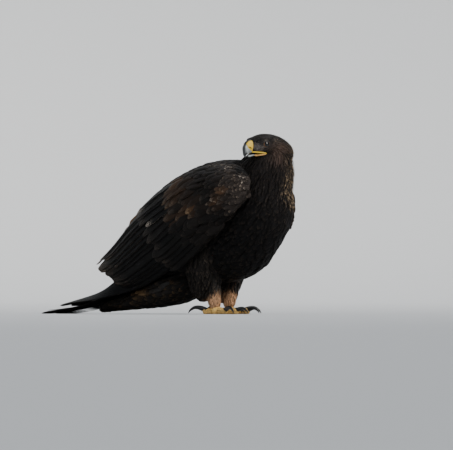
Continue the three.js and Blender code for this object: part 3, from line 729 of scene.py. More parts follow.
def mantle_coat(s, b):
    worn = smoothstep(s, 0.48, 0.58)
    tuft = marked(MANTLE_TUFT, s, b)
    sizes = blend(BACK_PLUME, SCAPULAR, smoothstep(s, 0.2, 0.5))
    edge = blend(PALE, GOLD, np.maximum(worn, tuft))
    return coat(s.shape, sizes, blend(WING, RUST, 0.55 * worn), edge, 0.12 + 0.7 * worn + 0.8 * tuft)


def thigh_coat(s, degrees):
    shin = smoothstep(np.sin(np.radians(degrees)), -0.6, -0.95) * smoothstep(s, 0.35, 0.6)
    tint = blend(THIGH_BROWN, SOFT_GREY, 0.7 * shin)
    return coat(s.shape, blend(HIP_PLUME, SHIN_PLUME, s), tint, PALE, 0.15 + 0.25 * shin)


def tarsus_coat(s, _):
    return coat(s.shape, TARSUS_PLUME, LEG_TAN, PALE, 0.3)


def vent_coat(s, degrees):
    side = from_top(degrees)
    golden = marked(VENT_GOLD, s, side)
    tint = blend(blend(VENT_BROWN, SOFT_GREY, marked(VENT_GREY, s, side)), GOLD, 0.35 * golden)
    return coat(s.shape, blend(VENT_PLUME, VENT_END_PLUME, s), tint, GOLD, 0.08 + 0.8 * golden)


# The folded wing: an arm with its coverts and, under it, the hand. Their edges and the back's
# are in degrees round the body, by the share along the sheet.
WING_FALL = 47  # of the lower edge by the wing's end
WING_END = 0.5
WING_BEND = 0.52
WING_TOP = 70
WING_SHOULDER = (45, 0.08)  # how much lower the upper edge starts, and how fast it rises
HAND_TALL = 26
MANTLE_EDGE = 61
MANTLE_NARROWS = (50, 0.3)  # its rate and where it starts
MANTLE_SHOULDER = (28, 0.07)


def wing_low(s):
    return -WING_FALL * (np.maximum(s, 0.0) / WING_END) ** WING_BEND


def wing_high(s):
    return WING_TOP - WING_SHOULDER[0] * np.exp(-s / WING_SHOULDER[1])


def hand_low(s):
    return wing_low(s) - 1


def hand_high(s):
    return wing_low(s) + HAND_TALL


def mantle_low(s):
    narrower = MANTLE_NARROWS[0] * np.maximum(0, s - MANTLE_NARROWS[1])
    return MANTLE_EDGE + narrower - MANTLE_SHOULDER[0] * np.exp(-s / MANTLE_SHOULDER[1])


def mantle_high(s):
    return 180 - mantle_low(s)


def wing_sheets(stations, side):
    """The sheet that the arm's feathers lie on, and the hand's under it."""
    under = [(*row[:3], *(max(r - HAND_DEPTH, LEAST_RADIUS) for r in row[3:])) for row in stations]

    def on_side(sheet):
        return lambda s, degrees, lift=0.0: sheet(s, degrees if side > 0 else 180 - degrees, lift)

    return on_side(sleeve(stations, body_lean)), on_side(sleeve(under, body_lean))


wings = {"left": wing_sheets(LEFT_WING, 1), "right": wing_sheets(RIGHT_WING, -1)}
back_sheet = sleeve(RIGHT_WING, body_lean)
vent_skin = sleeve(VENT)


def leg_sleeves(side, step, knee):
    """The thigh and shank of one side, bent at the knee and leaning to the foot's place."""

    def lowered(row):
        share = min(max(1 - row[2] / STEP_STARTS, 0), 1)
        low, high, fade, end = KNEE_HEIGHTS
        bend = knee * float(smoothstep(row[2], low, high) * (1 - smoothstep(row[2], fade, end)))
        return (row[0] + step[0] * share, row[1] + step[1] * share + bend, *row[2:])

    def own(points):
        return points * (side, 1, 1)

    return (sleeve([lowered(r) for r in THIGH], place=own), sleeve([lowered(r) for r in TARSUS], place=own))


legs = {"left": leg_sleeves(1, LEFT_STEP, LEFT_KNEE), "right": leg_sleeves(-1, RIGHT_STEP, RIGHT_KNEE)}


def brow_sleeve(side):
    return sleeve(BROW, place=lambda points: on_head(points * (side, 1, 1)))


def gather_forms():
    tube_form(trunk_skin, 96, 110, COAT_DEPTH, (0.05, 0.08), trunk_coat)
    tube_form(skull_skin, 72, 64, SKULL_DEPTH, (0.02, 0.14), skull_coat)
    for side in (1, -1):
        tube_form(brow_sleeve(side), 16, 18, BROW_DEPTH, (0.15, 0.15), brow_coat)
    for outer, inner in wings.values():
        pod_form(outer, (0.03, WING_END), wing_low, wing_high, -9, 5, 64, 90, wing_coat)
        pod_form(inner, (0.05, WING_END), hand_low, hand_high, 0, 2.5, 48, 60, wing_coat)
    pod_form(back_sheet, (0.03, 0.66), mantle_low, mantle_high, -15, 12, 72, 90, mantle_coat)
    for thigh, tarsus in legs.values():
        tube_form(thigh, 48, 48, THIGH_DEPTH, (0.2, 0.12), thigh_coat)
        tube_form(tarsus, 36, 30, TARSUS_DEPTH, (0.2, 0.25), tarsus_coat)
    tube_form(vent_skin, 48, 48, COAT_DEPTH, (0.15, 0.1), vent_coat)


gather_forms()


# One skin over all the forms
SKIN_CHANGES = {
    "REMESH": {"mode": "VOXEL", "voxel_size": SKIN_VOXEL},
    "SMOOTH": {"factor": 0.5, "iterations": 4},
}
EVENING = (10, 0.6)  # rounds in which the skin's values are evened out, and the neighbours' share
SKIN_SHADE = 0.7  # of the skin's tint, against its feathers'


def make_skin():
    pile = Pile()
    for net, _, _ in forms:
        pile.add_net(net)
    rough = pile.build("rough", SKIN)
    for kind, numbers in SKIN_CHANGES.items():
        change = rough.modifiers.new(kind, kind)
        for key, number in numbers.items():
            setattr(change, key, number)
    graph = bpy.context.evaluated_depsgraph_get()
    mesh = bpy.data.meshes.new_from_object(rough.evaluated_get(graph))
    bpy.data.objects.remove(rough)
    mesh.materials.clear()
    mesh.materials.append(SKIN)
    mesh.polygons.foreach_set("use_smooth", np.ones(len(mesh.polygons), bool))
    return put_in_scene("skin", mesh)


def unwrap(made):
    bpy.context.view_layer.objects.active = made
    made.select_set(True)
    bpy.ops.object.mode_set(mode="EDIT")
    bpy.ops.mesh.select_all(action="SELECT")
    bpy.ops.uv.smart_project(angle_limit=math.radians(70), island_margin=0.002)
    bpy.ops.object.mode_set(mode="OBJECT")
    made.data.uv_layers[0].name = "OFBake"


def read(collection, name, width, kind=np.float32):
    numbers = np.empty(len(collection) * width, kind)
    collection.foreach_get(name, numbers)
    return numbers.reshape(-1, width) if width > 1 else numbers


skin = make_skin()
unwrap(skin)
mesh = skin.data
skin_spots = from_frame(read(mesh.vertices, "co", 3).astype(float))
skin_normals = read(mesh.vertices, "normal", 3).astype(float)
skin_edges = read(mesh.edges, "vertices", 2, np.int32)
skin_faces = [tuple(p.vertices) for p in mesh.polygons]


def flat_on(flow, normals):
    """Directions laid down on a surface."""
    return unit(flow - normals * (flow * normals).sum(-1, keepdims=True))


def tree_of(spots):
    tree = KDTree(len(spots))
    for k, spot in enumerate(spots):
        tree.insert(spot, k)
    tree.balance()
    return tree


def spread_sizes():
    """The nearest form's lie and sizes at every point of the skin, evened out over it."""
    tree = tree_of(np.concatenate([net.reshape(-1, 3) for net, _, _ in forms]))
    values = [np.concatenate([flow, sizes], -1) for _, flow, sizes in forms]
    values = np.concatenate([rows.reshape(-1, rows.shape[-1]) for rows in values])
    rows = values[[tree.find(p)[1] for p in skin_spots]]
    a, b = skin_edges[:, 0], skin_edges[:, 1]
    degree = np.bincount(np.concatenate([a, b]), minlength=len(rows)).astype(float)
    rounds, share = EVENING
    for _ in range(rounds):
        sums = np.empty_like(rows)
        for c in range(rows.shape[1]):
            sums[:, c] = np.bincount(a, rows[b, c], len(rows)) + np.bincount(b, rows[a, c], len(rows))
        rows = (1 - share) * rows + share * sums / np.maximum(degree, 1)[:, None]
    return flat_on(rows[:, :3], skin_normals), rows[:, 3:]


skin_flow, skin_sizes = spread_sizes()
keep_values(mesh, "tint", with_alpha(skin_sizes[:, TINT] * SKIN_SHADE))
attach(skin, "root")
surface = BVHTree.FromPolygons([tuple(p) for p in skin_spots], skin_faces)

# Contour feathers over the skin
ROWS = np.array([0, 0.16, 0.36, 0.58, 0.77, 0.91, 1.0])  # shares down a feather, and its width there
ROUND = np.array([0.45, 0.78, 1.0, 1.0, 0.88, 0.58, 0.16])
LANCE = np.array([0.5, 0.9, 1.0, 0.84, 0.56, 0.28, 0.05])
ROOT_DEPTH = 1.2  # of a feather's root in the skin
CROWNED = 0.22  # a feather's height over its half width
THICK = (0.3, 0.1)  # its thickness, and what is added for its width
# Chance from feather to feather
LENGTHS = (0.85, 1.15)
WIDTHS = (0.88, 1.12)
LIFTS = (0.7, 1.35)
CURL = 0.07
ROLL = 0.14
WEAR = 0.05
SHADES = 0.2
EDGE_SHADES = 0.25
EDGE_STRENGTHS = (0.3, 1.6)
BAKE_PATCH = 0.003
WALK = 4  # steps in which a feather follows the skin
TRIES = 5  # roots drawn for each one that the spacing has room for
SMALL_HALF = 5.5  # half width under which a feather is a small one
FLOOR_CLEAR = 12  # no feather roots lower than this
AIR = (1.5, 14)  # a root needs open air above it: from this height on, for this far
# name, points across, and most feathers of a piece
PLUME_KINDS = (("plumes_small", 3, 3600), ("plumes", 5, 2400))
EYE_CLEAR = 13.7  # no feather roots within this of an eye's centre
EYE_TIP_CLEAR = 13.0  # and none ends within this
BILL_END = (-49, -45.5)  # Y where the face's feathers begin, beside the bill and over it
BILL_TOP = (4, 16)  # heights between its side and its top
BILL_MIDDLE = 3.4  # height of the bill's middle, and its half width and height with room
BILL_ROOM = (14.4, 17.2)
LIP_CLEAR = 3.2
LIP_STEPS = 30


def face_tables():
    """Corners, area, normal, lie, sizes and place on the unwrap of each face of the skin."""
    quads = np.array([f if len(f) == 4 else (*f, f[0]) for f in skin_faces])
    corners = skin_spots[quads]
    a, b, c, d = (corners[:, k] for k in range(4))
    area = 0.5 * np.linalg.norm(np.cross(c - a, d - b), axis=1)
    normal = unit(skin_normals[quads].mean(1))
    flow = flat_on(skin_flow[quads].mean(1), normal)
    bake = np.zeros((len(quads), 2))
    loops = read(mesh.uv_layers["OFBake"].data, "uv", 2).astype(float)
    starts = read(mesh.polygons, "loop_start", 1, np.int32)
    for k in range(3):
        bake += loops[starts + k] / 3
    return quads, corners, area, normal, flow, skin_sizes[quads].mean(1), bake


quads, corners, face_area, face_normal, face_flow, face_sizes, face_bake = face_tables()


def scatter():
    """Roots spread evenly, closer where the feathers are small."""
    density = face_area / face_sizes[:, SPACING] ** 2
    total = int(density.sum() * TRIES)
    picked = rng.choice(len(quads), total, p=density / density.sum())
    u, v = rng.random((2, total, 1))
    a, b, c, d = (corners[picked, k] for k in range(4))
    spots = lerp(lerp(a, b, u), lerp(d, c, u), v)
    tree = tree_of(spots)
    gone = np.zeros(total, bool)
    kept = []
    for k in range(total):
        if gone[k]:
            continue
        kept.append(k)
        for _, other, _ in tree.find_range(spots[k], face_sizes[picked[k], SPACING]):
            gone[other] = True
    return spots[kept], picked[kept]


def in_bill(points):
    """Whether points lie within the bill or against the lips."""
    local = moved(points, head_matrix.inverted())
    from_axis = np.hypot(local[:, 0] / BILL_ROOM[0], (local[:, 2] - BILL_MIDDLE) / BILL_ROOM[1])
    end = lerp(*BILL_END, smoothstep(local[:, 2], *BILL_TOP))
    within = (local[:, 1] < end) & (from_axis < 1)
    for stations in (UPPER_LIP, LOWER_LIP):
        line = through(stations)(np.linspace(0, 1, LIP_STEPS))[:, :3]
        mirror = np.abs(local * (1, 0, 0)) + local * (0, 1, 1)
        away = np.linalg.norm(mirror[:, None] - line[None], axis=2).min(1)
        within |= away < LIP_CLEAR
    return within


def open_air(spot, normal):
    start = Vector(spot + normal * AIR[0])
    return surface.ray_cast(start, Vector(normal), AIR[1])[0] is None


def walk(spot, face, length):
    """Points down the lie of the coat over the skin, with the faces they are on."""
    path, faces = [spot], [face]
    for _ in range(WALK):
        ahead = path[-1] + face_flow[faces[-1]] * length / WALK
        found, _, at, _ = surface.find_nearest(Vector(ahead))
        path.append(np.array(found))
        faces.append(at)
    return path, faces


def grow(roots, root_faces, columns):
    """Every feather of a set as one array of points, with its values."""
    sizes = face_sizes[root_faces]
    many = len(roots)
    length = sizes[:, LENGTH] * rng.uniform(*LENGTHS, many)
    half = sizes[:, HALF] * rng.uniform(*WIDTHS, many)
    lift = sizes[:, LIFT] * rng.uniform(*LIFTS, many)
    paths, normals = np.empty((many, WALK + 1, 3)), np.empty((many, WALK + 1, 3))
    for k in range(many):
        path, faces = walk(roots[k], root_faces[k], length[k])
        paths[k] = path
        normals[k] = face_normal[faces]
    place = ROWS * WALK
    low = np.minimum(place.astype(int), WALK - 1)
    f = (place - low)[None, :, None]
    spine = lerp(paths[:, low], paths[:, low + 1], f)
    over = unit(lerp(normals[:, low], normals[:, low + 1], f))
    side = unit(np.cross(unit(np.gradient(spine, axis=1)), over))
    width = lerp(ROUND[None], LANCE[None], sizes[:, POINT][:, None]) * half[:, None]
    height = lerp(-ROOT_DEPTH, lift[:, None], ROWS[None] ** 0.8)
    curl = rng.normal(0, CURL, many)[:, None] * length[:, None] * ROWS[None] ** 2
    roll = rng.normal(0, ROLL, many)[:, None, None]
    q = np.append(np.linspace(-1, 1, columns), 0.0)
    under = np.append(np.zeros(columns), 1.0)
    shape = (many, len(ROWS), len(q))
    reach = width[..., None] * q * (1 + rng.normal(0, WEAR, shape))
    crown = CROWNED * width[..., None] * (1 - q**2)
    up = height[..., None] + crown + roll * reach - under * (THICK[0] + THICK[1] * width[..., None])
    spots = spine[:, :, None] + side[:, :, None] * (reach + curl[..., None])[..., None]
    spots = spots + over[:, :, None] * up[..., None]
    tone = rng.lognormal(0, SHADES, many)
    tint = with_alpha(sizes[:, TINT] * tone[:, None])
    edge = sizes[:, EDGE] * rng.lognormal(0, EDGE_SHADES, many)[:, None]
    edge[:, 3] = np.clip(sizes[:, EDGE.stop - 1] * rng.uniform(*EDGE_STRENGTHS, many), 0, 1)
    across, along, none = np.broadcast_arrays(q, ROWS[:, None], np.zeros(shape))
    patch = np.stack([across, 2 * along - 1], -1) * BAKE_PATCH / 2
    bake = face_bake[root_faces][:, None, None] + patch
    return spots, tint, edge, np.stack([across, along, none], -1), bake


def plume_piece(name, roots, root_faces, columns):
    spots, tint, edge, vane, bake = grow(roots, root_faces, columns)
    many, rows, ring = spots.shape[:3]
    per = rows * ring
    q, t = vane_faces(rows, ring)
    step = np.arange(many)[:, None, None] * per
    pile = Pile()
    pile.add(
        spots.reshape(-1, 3),
        (q[None] + step).reshape(-1, 4),
        (t[None] + step).reshape(-1, 3),
        tint=np.repeat(tint, per, 0),
        edge=np.repeat(edge, per, 0),
        vane=vane.reshape(-1, 3),
        bake=bake.reshape(-1, 2),
    )
    return pile.build(name, PLUME)


def cover_body():
    roots, root_faces = scatter()
    eyes = [on_head(np.array(EYE_PLACE, float) * (side, 1, 1)) for side in (1, -1)]
    bare = face_sizes[root_faces, HIDDEN] > 0.5
    reach = face_flow[root_faces] * face_sizes[root_faces, LENGTH][:, None]
    for share, eye_room in ((0.0, EYE_CLEAR), (0.5, EYE_TIP_CLEAR), (1.0, EYE_TIP_CLEAR)):
        bare |= in_bill(roots + reach * share)
        for eye in eyes:
            bare |= np.linalg.norm(roots + reach * share - eye, axis=1) < eye_room
    clear = np.array([open_air(spot, face_normal[f]) for spot, f in zip(roots, root_faces)])
    keep = clear & ~bare & (roots[:, 2] > FLOOR_CLEAR)
    roots, root_faces = roots[keep], root_faces[keep]
    small = face_sizes[root_faces, HALF] < SMALL_HALF
    order = np.argsort(roots[:, 1], kind="stable")
    for (name, columns, most), chosen in zip(PLUME_KINDS, (small, ~small)):
        picked = order[chosen[order]]
        for k in range(0, len(picked), most):
            part = picked[k : k + most]
            plume_piece(f"{name}_{k // most + 1}", roots[part], root_faces[part], columns)


cover_body()

# Long vanes: flight and tail feathers and the wing's coverts, each laid on a field
FLIGHT_FORM = ((0, 0.4), (0.3, 0.95), (0.62, 1.0), (0.84, 0.93), (0.94, 0.72), (0.985, 0.42), (1, 0.14))
COVERT_FORM = ((0, 0.45), (0.2, 0.85), (0.55, 1.0), (0.8, 0.92), (0.93, 0.66), (0.985, 0.36), (1, 0.12))
STEADY_RISE = ((0, 0), (1, 1))
QUICK_RISE = ((0, 0), (0.25, 0.62), (0.7, 0.9), (1, 1))
BAKE_GRID = 8  # vanes of a piece beside one another on its bake map
FRAYED = (0.9, 0.025)  # how far out a vane's edge is frayed, and by how much
VANE_SHADES = 0.1
VANE_THICK = 0.6


def vane(pile, field, root, tip, half, form, tint, edge, cell, rise=STEADY_RISE, tilt=0.0, rows=16,
         columns=7, camber=0.06):
    """Adds one vane from its root to its tip, each (along, across, lift), to a pile."""
    t = 1 - (1 - np.linspace(0, 1, rows)) ** 1.25
    q = np.linspace(-1, 1, columns)
    ring = np.concatenate([q, q[-2:0:-1]])
    under = np.concatenate([np.zeros(columns), np.ones(columns - 2)])
    along, across = np.meshgrid(t, ring, indexing="ij")
    s, b = (lerp(root[k], tip[k], along) for k in (0, 1))
    width = half * np.interp(along, *zip(*form))
    lift = lerp(root[2], tip[2], np.interp(along, *zip(*rise)))
    span = np.linalg.norm(field(s, b + 0.5, lift) - field(s, b - 0.5, lift), axis=-1)
    wear = 1 + rng.normal(0, FRAYED[1], along.shape) * (np.abs(across) > FRAYED[0])
    reach = width * across * wear
    height = lift - tilt * reach + camber * half * (1 - across**2) - VANE_THICK * under
    spots = field(s, b + reach / span, height).reshape(-1, 3)
    tone = rng.lognormal(0, VANE_SHADES)
    u = (cell % BAKE_GRID + 0.5 + 0.42 * across) / BAKE_GRID
    v = (cell // BAKE_GRID + 0.05 + 0.9 * along) / BAKE_GRID
    pile.add(
        spots,
        *turned_out(spots, *vane_faces(rows, len(ring))),
        tint=(*(np.array(tint) * tone), 1.0),
        edge=edge,
        vane=np.stack([across, along, 0 * along], -1).reshape(-1, 3),
        bake=np.stack([u, v], -1).reshape(-1, 2),
    )


HAND_MIDDLE = (240, -0.53)  # height of the body's middle at Y 0, and its fall with Y


def hand_line(side):
    """The flat ribbon that a folded hand's quills lie on."""
    row = through(HAND_LINE)

    def at(s, reach, lift):
        s, reach, lift = np.broadcast_arrays(s, reach, lift)
        here = row(s)
        ahead = unit(row(np.minimum(s + STEP_DOWN, 1))[..., :3] - row(np.maximum(s - STEP_DOWN, 0))[..., :3])
        turn = np.radians(here[..., 3])
        out = flat_on(np.stack([np.cos(turn), 0 * turn, np.sin(turn)], -1), ahead)
        spot = here[..., :3] + np.cross(out, ahead) * -reach[..., None] + out * lift[..., None]
        x, y, z = np.moveaxis(spot, -1, 0)
        middle = HAND_MIDDLE[0] + HAND_MIDDLE[1] * y
        x, z = rolled(side * x, z - middle, body_lean(y))
        return np.stack([x, y, middle + z], -1)

    return at


SECONDARIES = 14
SECONDARY_ROOTS = (0.36, 53, 11)  # along, degrees of the first, and of the last above the low edge
SECONDARY_TIPS = (0.815, 0.695, 65, 15)  # along for the first and the last, and degrees likewise
SECONDARY_LIFTS = (-10, -5)  # at the root and at the tip
SECONDARY_HALVES = (21, 27)
NOTCHED = (0, 2, 3, 6)  # secondaries that end short of their neighbours
NOTCH = 0.035
GREATER_COVERTS = 15
COVERT_ROOTS = (0.31, 56, 3)
COVERT_TIPS = (0.535, 0.49, 60, 3)
COVERT_HALVES = (14, 18)
COVERT_SINKS = -7  # lift at the root
COVERT_LIFTS = (1.2, 2.8)  # and at the tip
WORN_COVERTS = (1, 5)  # greater coverts with bleached tips
FIRST_COVERT_CELL = 20  # of the bake map
PRIMARIES = 9
PRIMARY_HALF = 16.5
PRIMARY_LIFTS = (4.2, -1.08)  # of the outermost, and the step to each next one
PRIMARY_FAN = (12, 11, -9)  # half width at the roots, and the first and last tip


def wing_quills(word, outer):
    pile = Pile()
    along, first, low = SECONDARY_ROOTS
    near, far, first_tip, low_tip = SECONDARY_TIPS
    for k in range(SECONDARIES):
        f = k / (SECONDARIES - 1)
        root = (along, lerp(first, wing_low(along) + low, f), SECONDARY_LIFTS[0])
        short = NOTCH if k in NOTCHED else 0
        reach = lerp(near, far, f) - short + rng.normal(0, 0.007)
        tip = (reach, lerp(first_tip, wing_low(WING_END) + low_tip, f), SECONDARY_LIFTS[1])
        tint = blend(QUILL, WING, rng.uniform(0.0, 0.8) * (1 - 0.6 * f))
        edge = (*PALE, rng.uniform(0.0, 0.35))
        half = rng.uniform(*SECONDARY_HALVES)
        vane(pile, outer, root, tip, half, FLIGHT_FORM, tint, edge, k, tilt=0.17, rows=26, columns=9)
    along, first, low = COVERT_ROOTS
    near, far, first_tip, low_tip = COVERT_TIPS
    for k in range(GREATER_COVERTS):
        f = (k + 0.5) / GREATER_COVERTS
        root = (along, lerp(first, wing_low(0.3) + low, f) + rng.normal(0, 1), COVERT_SINKS)
        reach = lerp(near, far, f) + rng.normal(0, 0.013)
        across = lerp(first_tip, wing_low(WING_END) + low_tip, f) + rng.normal(0, 1.5)
        tip = (reach, across, rng.uniform(*COVERT_LIFTS))
        tint = blend(QUILL, WING, rng.uniform(0.0, 0.75))
        bleached = k in WORN_COVERTS
        edge = (*BLEACHED, 0.4) if bleached else (*PALE, rng.uniform(0.0, 0.18))
        half = rng.uniform(*COVERT_HALVES)
        cell = FIRST_COVERT_CELL + k
        vane(pile, outer, root, tip, half, COVERT_FORM, tint, edge, cell, QUICK_RISE, tilt=0.12, rows=18)
    pile.build(f"secondaries_{word}", FLIGHT, [f"wing_{word}_arm"])

    bundle = hand_line(1 if word == "left" else -1)
    pile = Pile()
    fan, first_tip, last_tip = PRIMARY_FAN
    for k in range(PRIMARIES):
        f = k / (PRIMARIES - 1)
        lift = PRIMARY_LIFTS[0] + PRIMARY_LIFTS[1] * k
        root = (0, lerp(fan, -fan, f), lift)
        tip = (lerp(0.86, 0.995, math.sin(f * math.pi / 1.7)), lerp(first_tip, last_tip, f), lift)
        vane(pile, bundle, root, tip, PRIMARY_HALF, FLIGHT_FORM, QUILL, (*PALE, 0.08), k,
             rows=26, columns=9, camber=0.03)
    pile.build(f"primaries_{word}", FLIGHT, [f"wing_{word}_hand"])


# Tail
RECTRICES = 12
RECTRIX_HALF = 23
TAIL_STEPS = (4.6, 10.5)  # from one tail feather to the next, at the root and at the tip
TAIL_LIFT = 5  # of the middle pair, from which each next feather lies one lower
TOP_LIFT = 8
RIGHT_LOWER = 2.6  # the right half lies under the left one
TAIL_COVERTS = ((0.0, 7, 0.27), (0.09, 7, 0.3), (0.2, 6, 0.3))  # along, how many, and their length
TAIL_COVERT_STEP = 11
TAIL_COVERT_HALF = 12
tail_row = through(TAIL_LINE)


def on_tail(s, across, lift):
    s, across, lift = np.broadcast_arrays(s, across, lift)
    here = tail_row(s)
    ahead = unit(tail_row(s + STEP_DOWN) - tail_row(s - STEP_DOWN))
    return np.stack([across, here[..., 0] - ahead[..., 1] * lift, here[..., 1] + ahead[..., 0] * lift], -1)


def tail_feathers():
    pile = Pile()
    for k in range(RECTRICES):
        off = k - (RECTRICES - 1) / 2
        rank = abs(off)
        top = k == RECTRICES // 2 - 1
        lift = TOP_LIFT if top else TAIL_LIFT - rank - (RIGHT_LOWER if off > 1 else 0)
        tilt = 0 if top else -0.1 * np.sign(off)
        root = (0, off * TAIL_STEPS[0], lift + 3)
        tip = (1 - 0.002 * rank**2, off * TAIL_STEPS[1], lift)
        vane(pile, on_tail, root, tip, RECTRIX_HALF, FLIGHT_FORM, QUILL, (*PALE, 0.25), k,
             tilt=tilt, rows=28, columns=9, camber=0.03)
    for r, (s, count, length) in enumerate(TAIL_COVERTS):
        for k in range(count):
            across = (k - (count - 1) / 2) * TAIL_COVERT_STEP + rng.normal(0, 1)
            tip = (s + length + rng.normal(0, 0.01), across * 1.15, 11.5 - 1.2 * r)
            cell = (r + 2) * BAKE_GRID + k
            vane(pile, on_tail, (s, across, 8 - r), tip, TAIL_COVERT_HALF, COVERT_FORM, WING, (*PALE, 0.15),
                 cell, QUICK_RISE, rows=12, camber=0.12)
    pile.build("tail_feathers", FLIGHT, ["tail"])


for word, (outer, _) in wings.items():
    wing_quills(word, outer)
tail_feathers()


# Bill, lips and eyes
HORN_GREY = (0.05, 0.056, 0.062)
# Pale horn, made whiter as a painted highlight on the bill's side
HORN_PALE_AND_HIGHLIGHT = (0.55, 0.58, 0.56)
# Black horn, also used as painted shade: in the gap of the closed mouth and on the bill's shaded front
HORN_BLACK_AND_SHADE = (0.012, 0.012, 0.013)
CERE_YELLOW = (0.85, 0.56, 0.06)
LIP_ORANGE = (0.9, 0.5, 0.16)
# Painted shade inside the nostril, which the cere only dents
NOSTRIL_SHADE = (0.004, 0.003, 0.002)
NOSTRIL_SIZE = (4.4, 1.35)  # half its length and half its height
NOSTRIL_SLANT = -35
LID_DARK = (0.012, 0.011, 0.01)
IRIS = (0.11, 0.045, 0.016)
PUPIL = (0.002, 0.002, 0.002)
# Front edges of the cere and of the pale horn ahead of it, whose pale is partly a painted highlight: height
# round the bill, and Y
CERE_EDGE = ((-0.85, -45), (-0.5, -54.5), (0.15, -62), (0.6, -64), (1, -64.5))
PALE_EDGE = ((-1, -56), (-0.3, -62), (0.4, -66.3), (1, -68))
UNDER_CERE = 3.5  # depth of the horn below the cere's surface
OVER_BILL = 0.9  # height of the cere over the horn
NOSTRIL_DEPTH = 0.22  # as a share of the bill's half width
# Height of the mouth line, above which the mandible is painted black as the shade in the mouth's gap
MOUTH_HEIGHT = -17.6
LIP_ENDS = (0.1, 0.15)


def head_net(stations, around, along, lift=0.0, ends=LIP_ENDS, side=1, start=0):
    """A tube of the head in its own coordinates from start on, with t and degrees."""
    t, degrees = turns(around, along)
    along_tube = lerp(start, 1, t)
    net = sleeve(stations)(along_tube, degrees, lift, dome_ends(t, ends))
    return net * (side, 1, 1), along_tube, degrees


def placed_piece(name, material, slot, nodes, *nets):
    """One piece of the head from nets in its coordinates, each with its tint."""
    pile = Pile()
    for net, tint in nets:
        tint = np.broadcast_to(tint, (*net.shape[:2], 3))
        pile.add_net(on_head(net), tint=with_alpha(net_spots(tint)))
    pile.build(name, material, nodes)


def edge_at(edge, high):
    """Y of an edge, by height round the bill from -1 to 1."""
    return np.interp(high, *zip(*edge))


def lips(stations, tint):
    return [(head_net(stations, 20, 40, side=side)[0], tint) for side in (1, -1)]


def build_upper_bill():
    net, t, degrees = head_net(BEAK, 96, 110, ends=(0.04, 0.04))
    high = np.sin(np.radians(degrees))
    behind = net[..., 1] - edge_at(CERE_EDGE, high)
    ahead = edge_at(PALE_EDGE, high) - net[..., 1]
    net = head_net(BEAK, 96, 110, -UNDER_CERE * smoothstep(behind, 0.3, 2.5), ends=(0.04, 0.04))[0]
    # Black at the hook and darker along the top: dark horn deepened as painted shade on the bill's front.
    # The pale band along the lower side is pale horn whitened as a painted highlight
    grey = smoothstep(t, 0.12, 0.5) * (1 - 0.7 * smoothstep(high, 0.35, 0.85))
    pale = (1 - smoothstep(ahead, -1.5, 2.5)) * (1 - smoothstep(high, 0.6, 0.9))
    tint = blend(blend(HORN_BLACK_AND_SHADE, HORN_GREY, grey), HORN_PALE_AND_HIGHLIGHT, pale)
    placed_piece("bill_upper", HORN, "horn", ["beak_upper"], (net, tint))


def cere_start():
    """How far along each line of the bill's surface crosses the cere's edge."""
    steps = np.linspace(0.35, 1, 300)
    degrees = turns(128, 90)[1][0]
    high = np.sin(np.radians(degrees))
    lines = sleeve(BEAK)(steps[:, None], degrees)[..., 1]
    return np.array([np.interp(edge_at(CERE_EDGE, h), y, steps) for h, y in zip(high, lines.T)])


def build_cere():
    net, _, degrees = head_net(BEAK, 128, 90, lift=OVER_BILL, ends=(0.06, 0.05), start=cere_start())
    slant = math.radians(NOSTRIL_SLANT)
    y, z = net[..., 1] - NOSTRIL_PLACE[1], net[..., 2] - NOSTRIL_PLACE[2]
    along = y * math.cos(slant) + z * math.sin(slant)
    across = z * math.cos(slant) - y * math.sin(slant)
    hole = 1 - smoothstep(np.hypot(along / NOSTRIL_SIZE[0], across / NOSTRIL_SIZE[1]), 0.75, 1.15)
    net = net - net * (1, 0, 0) * hole[..., None] * NOSTRIL_DEPTH
    # The cere turns black along its top
    tint = blend(CERE_YELLOW, HORN_BLACK_AND_SHADE, smoothstep(np.sin(np.radians(degrees)), 0.8, 0.93))
    # Painted shade fills the nostril's shallow dent
    tint = blend(tint, NOSTRIL_SHADE, hole)
    placed_piece("cere", CERE, "cere", ["cere"], (net, tint), *lips(UPPER_LIP, CERE_YELLOW))


def build_lower_bill():
    net, t, _ = head_net(MANDIBLE, 36, 40, ends=(0.1, 0.05))
    # Painted shade: above the mouth line the mandible is black, standing in for the shade in the closed
    # mouth's gap; below it the horn is pale, and black towards the tip
    below = smoothstep(net[..., 2], MOUTH_HEIGHT + 0.6, MOUTH_HEIGHT - 0.6)
    tint = blend(HORN_BLACK_AND_SHADE, HORN_PALE_AND_HIGHLIGHT, below * smoothstep(t, 0.02, 0.25))
    placed_piece("bill_lower", HORN, "horn", ["beak_lower"], (net, tint), *lips(LOWER_LIP, LIP_ORANGE))


PUPIL_ANGLE = 32
IRIS_ANGLE = 50
LID_OPENING = (44, 27, 35)  # degrees from the eye's axis to the lid: beside it, above and below
LID_STREAK = (108, 22)  # degrees round the eye where a pale streak crosses the lid, and its spread
STREAK_ROWS = (4, 5)  # the rows of the lid's section that it crosses
# Across the lid: degrees beyond the opening, and height over the eyeball
LID_SECTION = [(0, -0.3), (0.5, 0.5), (3, 0.9), (8, 0.9), (14, 1.1), (22, 1), (34, 0), (36, -2), (18, -1.2)]


def on_eye(side, radius, away, turn):
    """A point of the eyeball by its angle from the eye's axis and the turn round it."""
    out = unit(np.array(EYE_AXIS) * (side, 1, 1))
    ahead = unit(np.cross(out, (0, 0, 1)) * -side)
    up = np.cross(out, ahead)
    up = up * np.sign(up[2])
    away, turn = np.radians(away)[..., None], np.radians(turn)[..., None]
    spots = out * np.cos(away) + (ahead * np.cos(turn) + up * np.sin(turn)) * np.sin(away)
    return np.array(EYE_PLACE) * (side, 1, 1) + radius * spots


